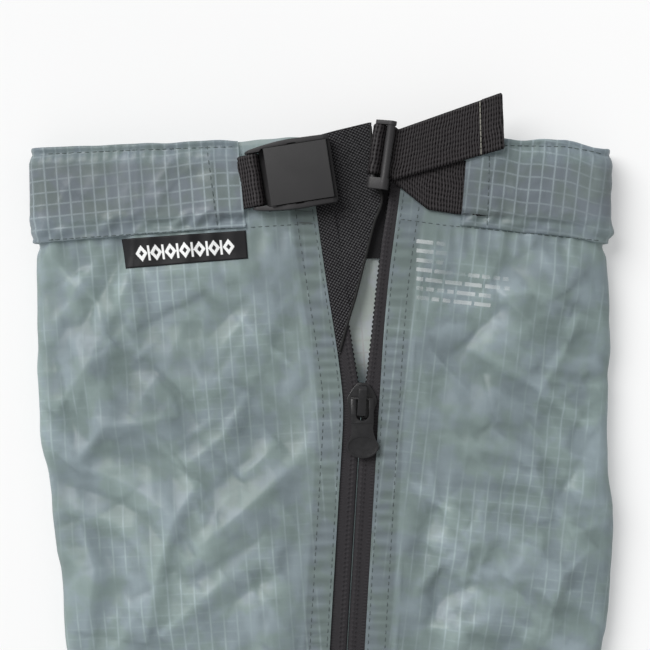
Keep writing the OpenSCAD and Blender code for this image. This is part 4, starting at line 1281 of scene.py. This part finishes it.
def build_small_cloth():
    # Tape over the back seam, inside
    d = np.arange(2, LEG_L - 2, 4.0)
    x = np.linspace(-6, 6, 7)[None]
    z = at(LOWS, d)[:, None] + 0.75 + 0.05 * np.cos(x)
    dd = d[:, None] + 0 * x
    obj = cloth_grid("back_seam_cover", on_leg(x, dd, z), np.stack([x + 0 * dd, dd], 2))
    dress(obj, FACING, replaces=["back_seam_tape"])
    # Elastic in the hem
    middle = LEG_L - (LEG_L - HEM_TOP) / 2
    rows = middle + np.linspace(-7, 7, 8)
    for side, word in SIDES.items():
        points, width, _ = leg_half(side, rows, 0.8, columns=(120, FOLD_COLS, 60))
        wave = 0.12 * np.cos(2 * math.pi * width / 2.4)
        points[..., 2] += wave
        uv = np.stack([width, rows[:, None] + 0 * width], 2)
        obj = cloth_grid(f"{word}_hem_elastic", points, uv, flip=side < 0)
        dress(obj, ELASTIC, replaces=["hem_elastic"])


def elastic_material():
    n = Nodes("elastic_knit")
    v = n.uv()[2]
    rib = n.ramp(n.math("SINE", n.math("MULTIPLY", v, 2 * math.pi / (1.1 * MM))), -1.0, 1.0)
    # The knit is painted darker in the grooves between its ribs and lighter on them: painted shade and painted
    # highlight, following the bump
    shade = n.mix(rib, (0.55, 0.56, 0.55), (0.86, 0.86, 0.84))
    return n.finish(n.surface(shade, 0.7, n.bump(rib, 0.6, 0.0002)))


ELASTIC = elastic_material()


def keep_node(name, material, slot, bevel):
    """A CAD part that stays as it is, with its edges rounded and a material of its own."""
    obj = frame["nodes"][name]
    obj.data.materials.clear()
    obj.data.materials.append(material)
    weld = obj.modifiers.new("weld", "WELD")
    weld.merge_threshold = 0.00001
    if bevel:
        rounding = obj.modifiers.new("bevel", "BEVEL")
        rounding.width = bevel * MM
        rounding.segments = 3
        rounding.limit_method = "ANGLE"
        rounding.angle_limit = math.radians(35)
    obj.data.polygons.foreach_set("use_smooth", [True] * len(obj.data.polygons))
    smooth_mod = obj.modifiers.new("edges", "EDGE_SPLIT")
    smooth_mod.split_angle = math.radians(40)


LEVER_PLASTIC = moulded("lever_acetal", (0.030, 0.0295, 0.0305), 0.55, 0.5)
# Each kept CAD part: its material, its slot and the radius of its rounded edges
HARDWARE = {
    "buckle_frame": (PLASTIC, "buckle_plastic", 0.45),
    "buckle_lever": (LEVER_PLASTIC, "buckle_plastic", 0.25),
    "adjuster_ring": (PLASTIC, "buckle_plastic", 0.35),
    "slider_body": (SLIDER, "slider_metal", 0.25),
    "slider_cap": (SLIDER, "slider_metal", 0.3),
    "slider_lock_spring": (STEEL, "spring_steel", 0.0),
    "pull_tab": (SLIDER, "slider_metal", 0.28),
    "lace_hook": (STEEL, "hook_metal", 0.2),
    "left_eyelet": (GUNMETAL, "eyelet_metal", 0.12),
    "right_eyelet": (GUNMETAL, "eyelet_metal", 0.12),
    "zip_top_stops": (COIL, "zip_coil", 0.3),
    "zip_bottom_stop": (COIL, "zip_coil", 0.4),
}


build_stage()
shells = build_shells()
shell_trees = {side: surface_of(obj) for side, obj in shells.items()}
bands = build_bands()
band_trees = {side: surface_of(shells[side], bands[side, "cuff"], bands[side, "hem"]) for side in SIDES}
build_facings(shell_trees)
build_lining_painted_light(list(shell_trees.values()))
build_buckle_loop()
build_strap_tail()
build_tunnel_strap()
build_hook_tab()
build_instep_tabs()
build_gusset()
build_zip()
build_stitches(shell_trees, band_trees)
build_label(band_trees[-1])
build_care_print(shell_trees[1])
build_small_cloth()
for node_name, choice in HARDWARE.items():
    keep_node(node_name, *choice)
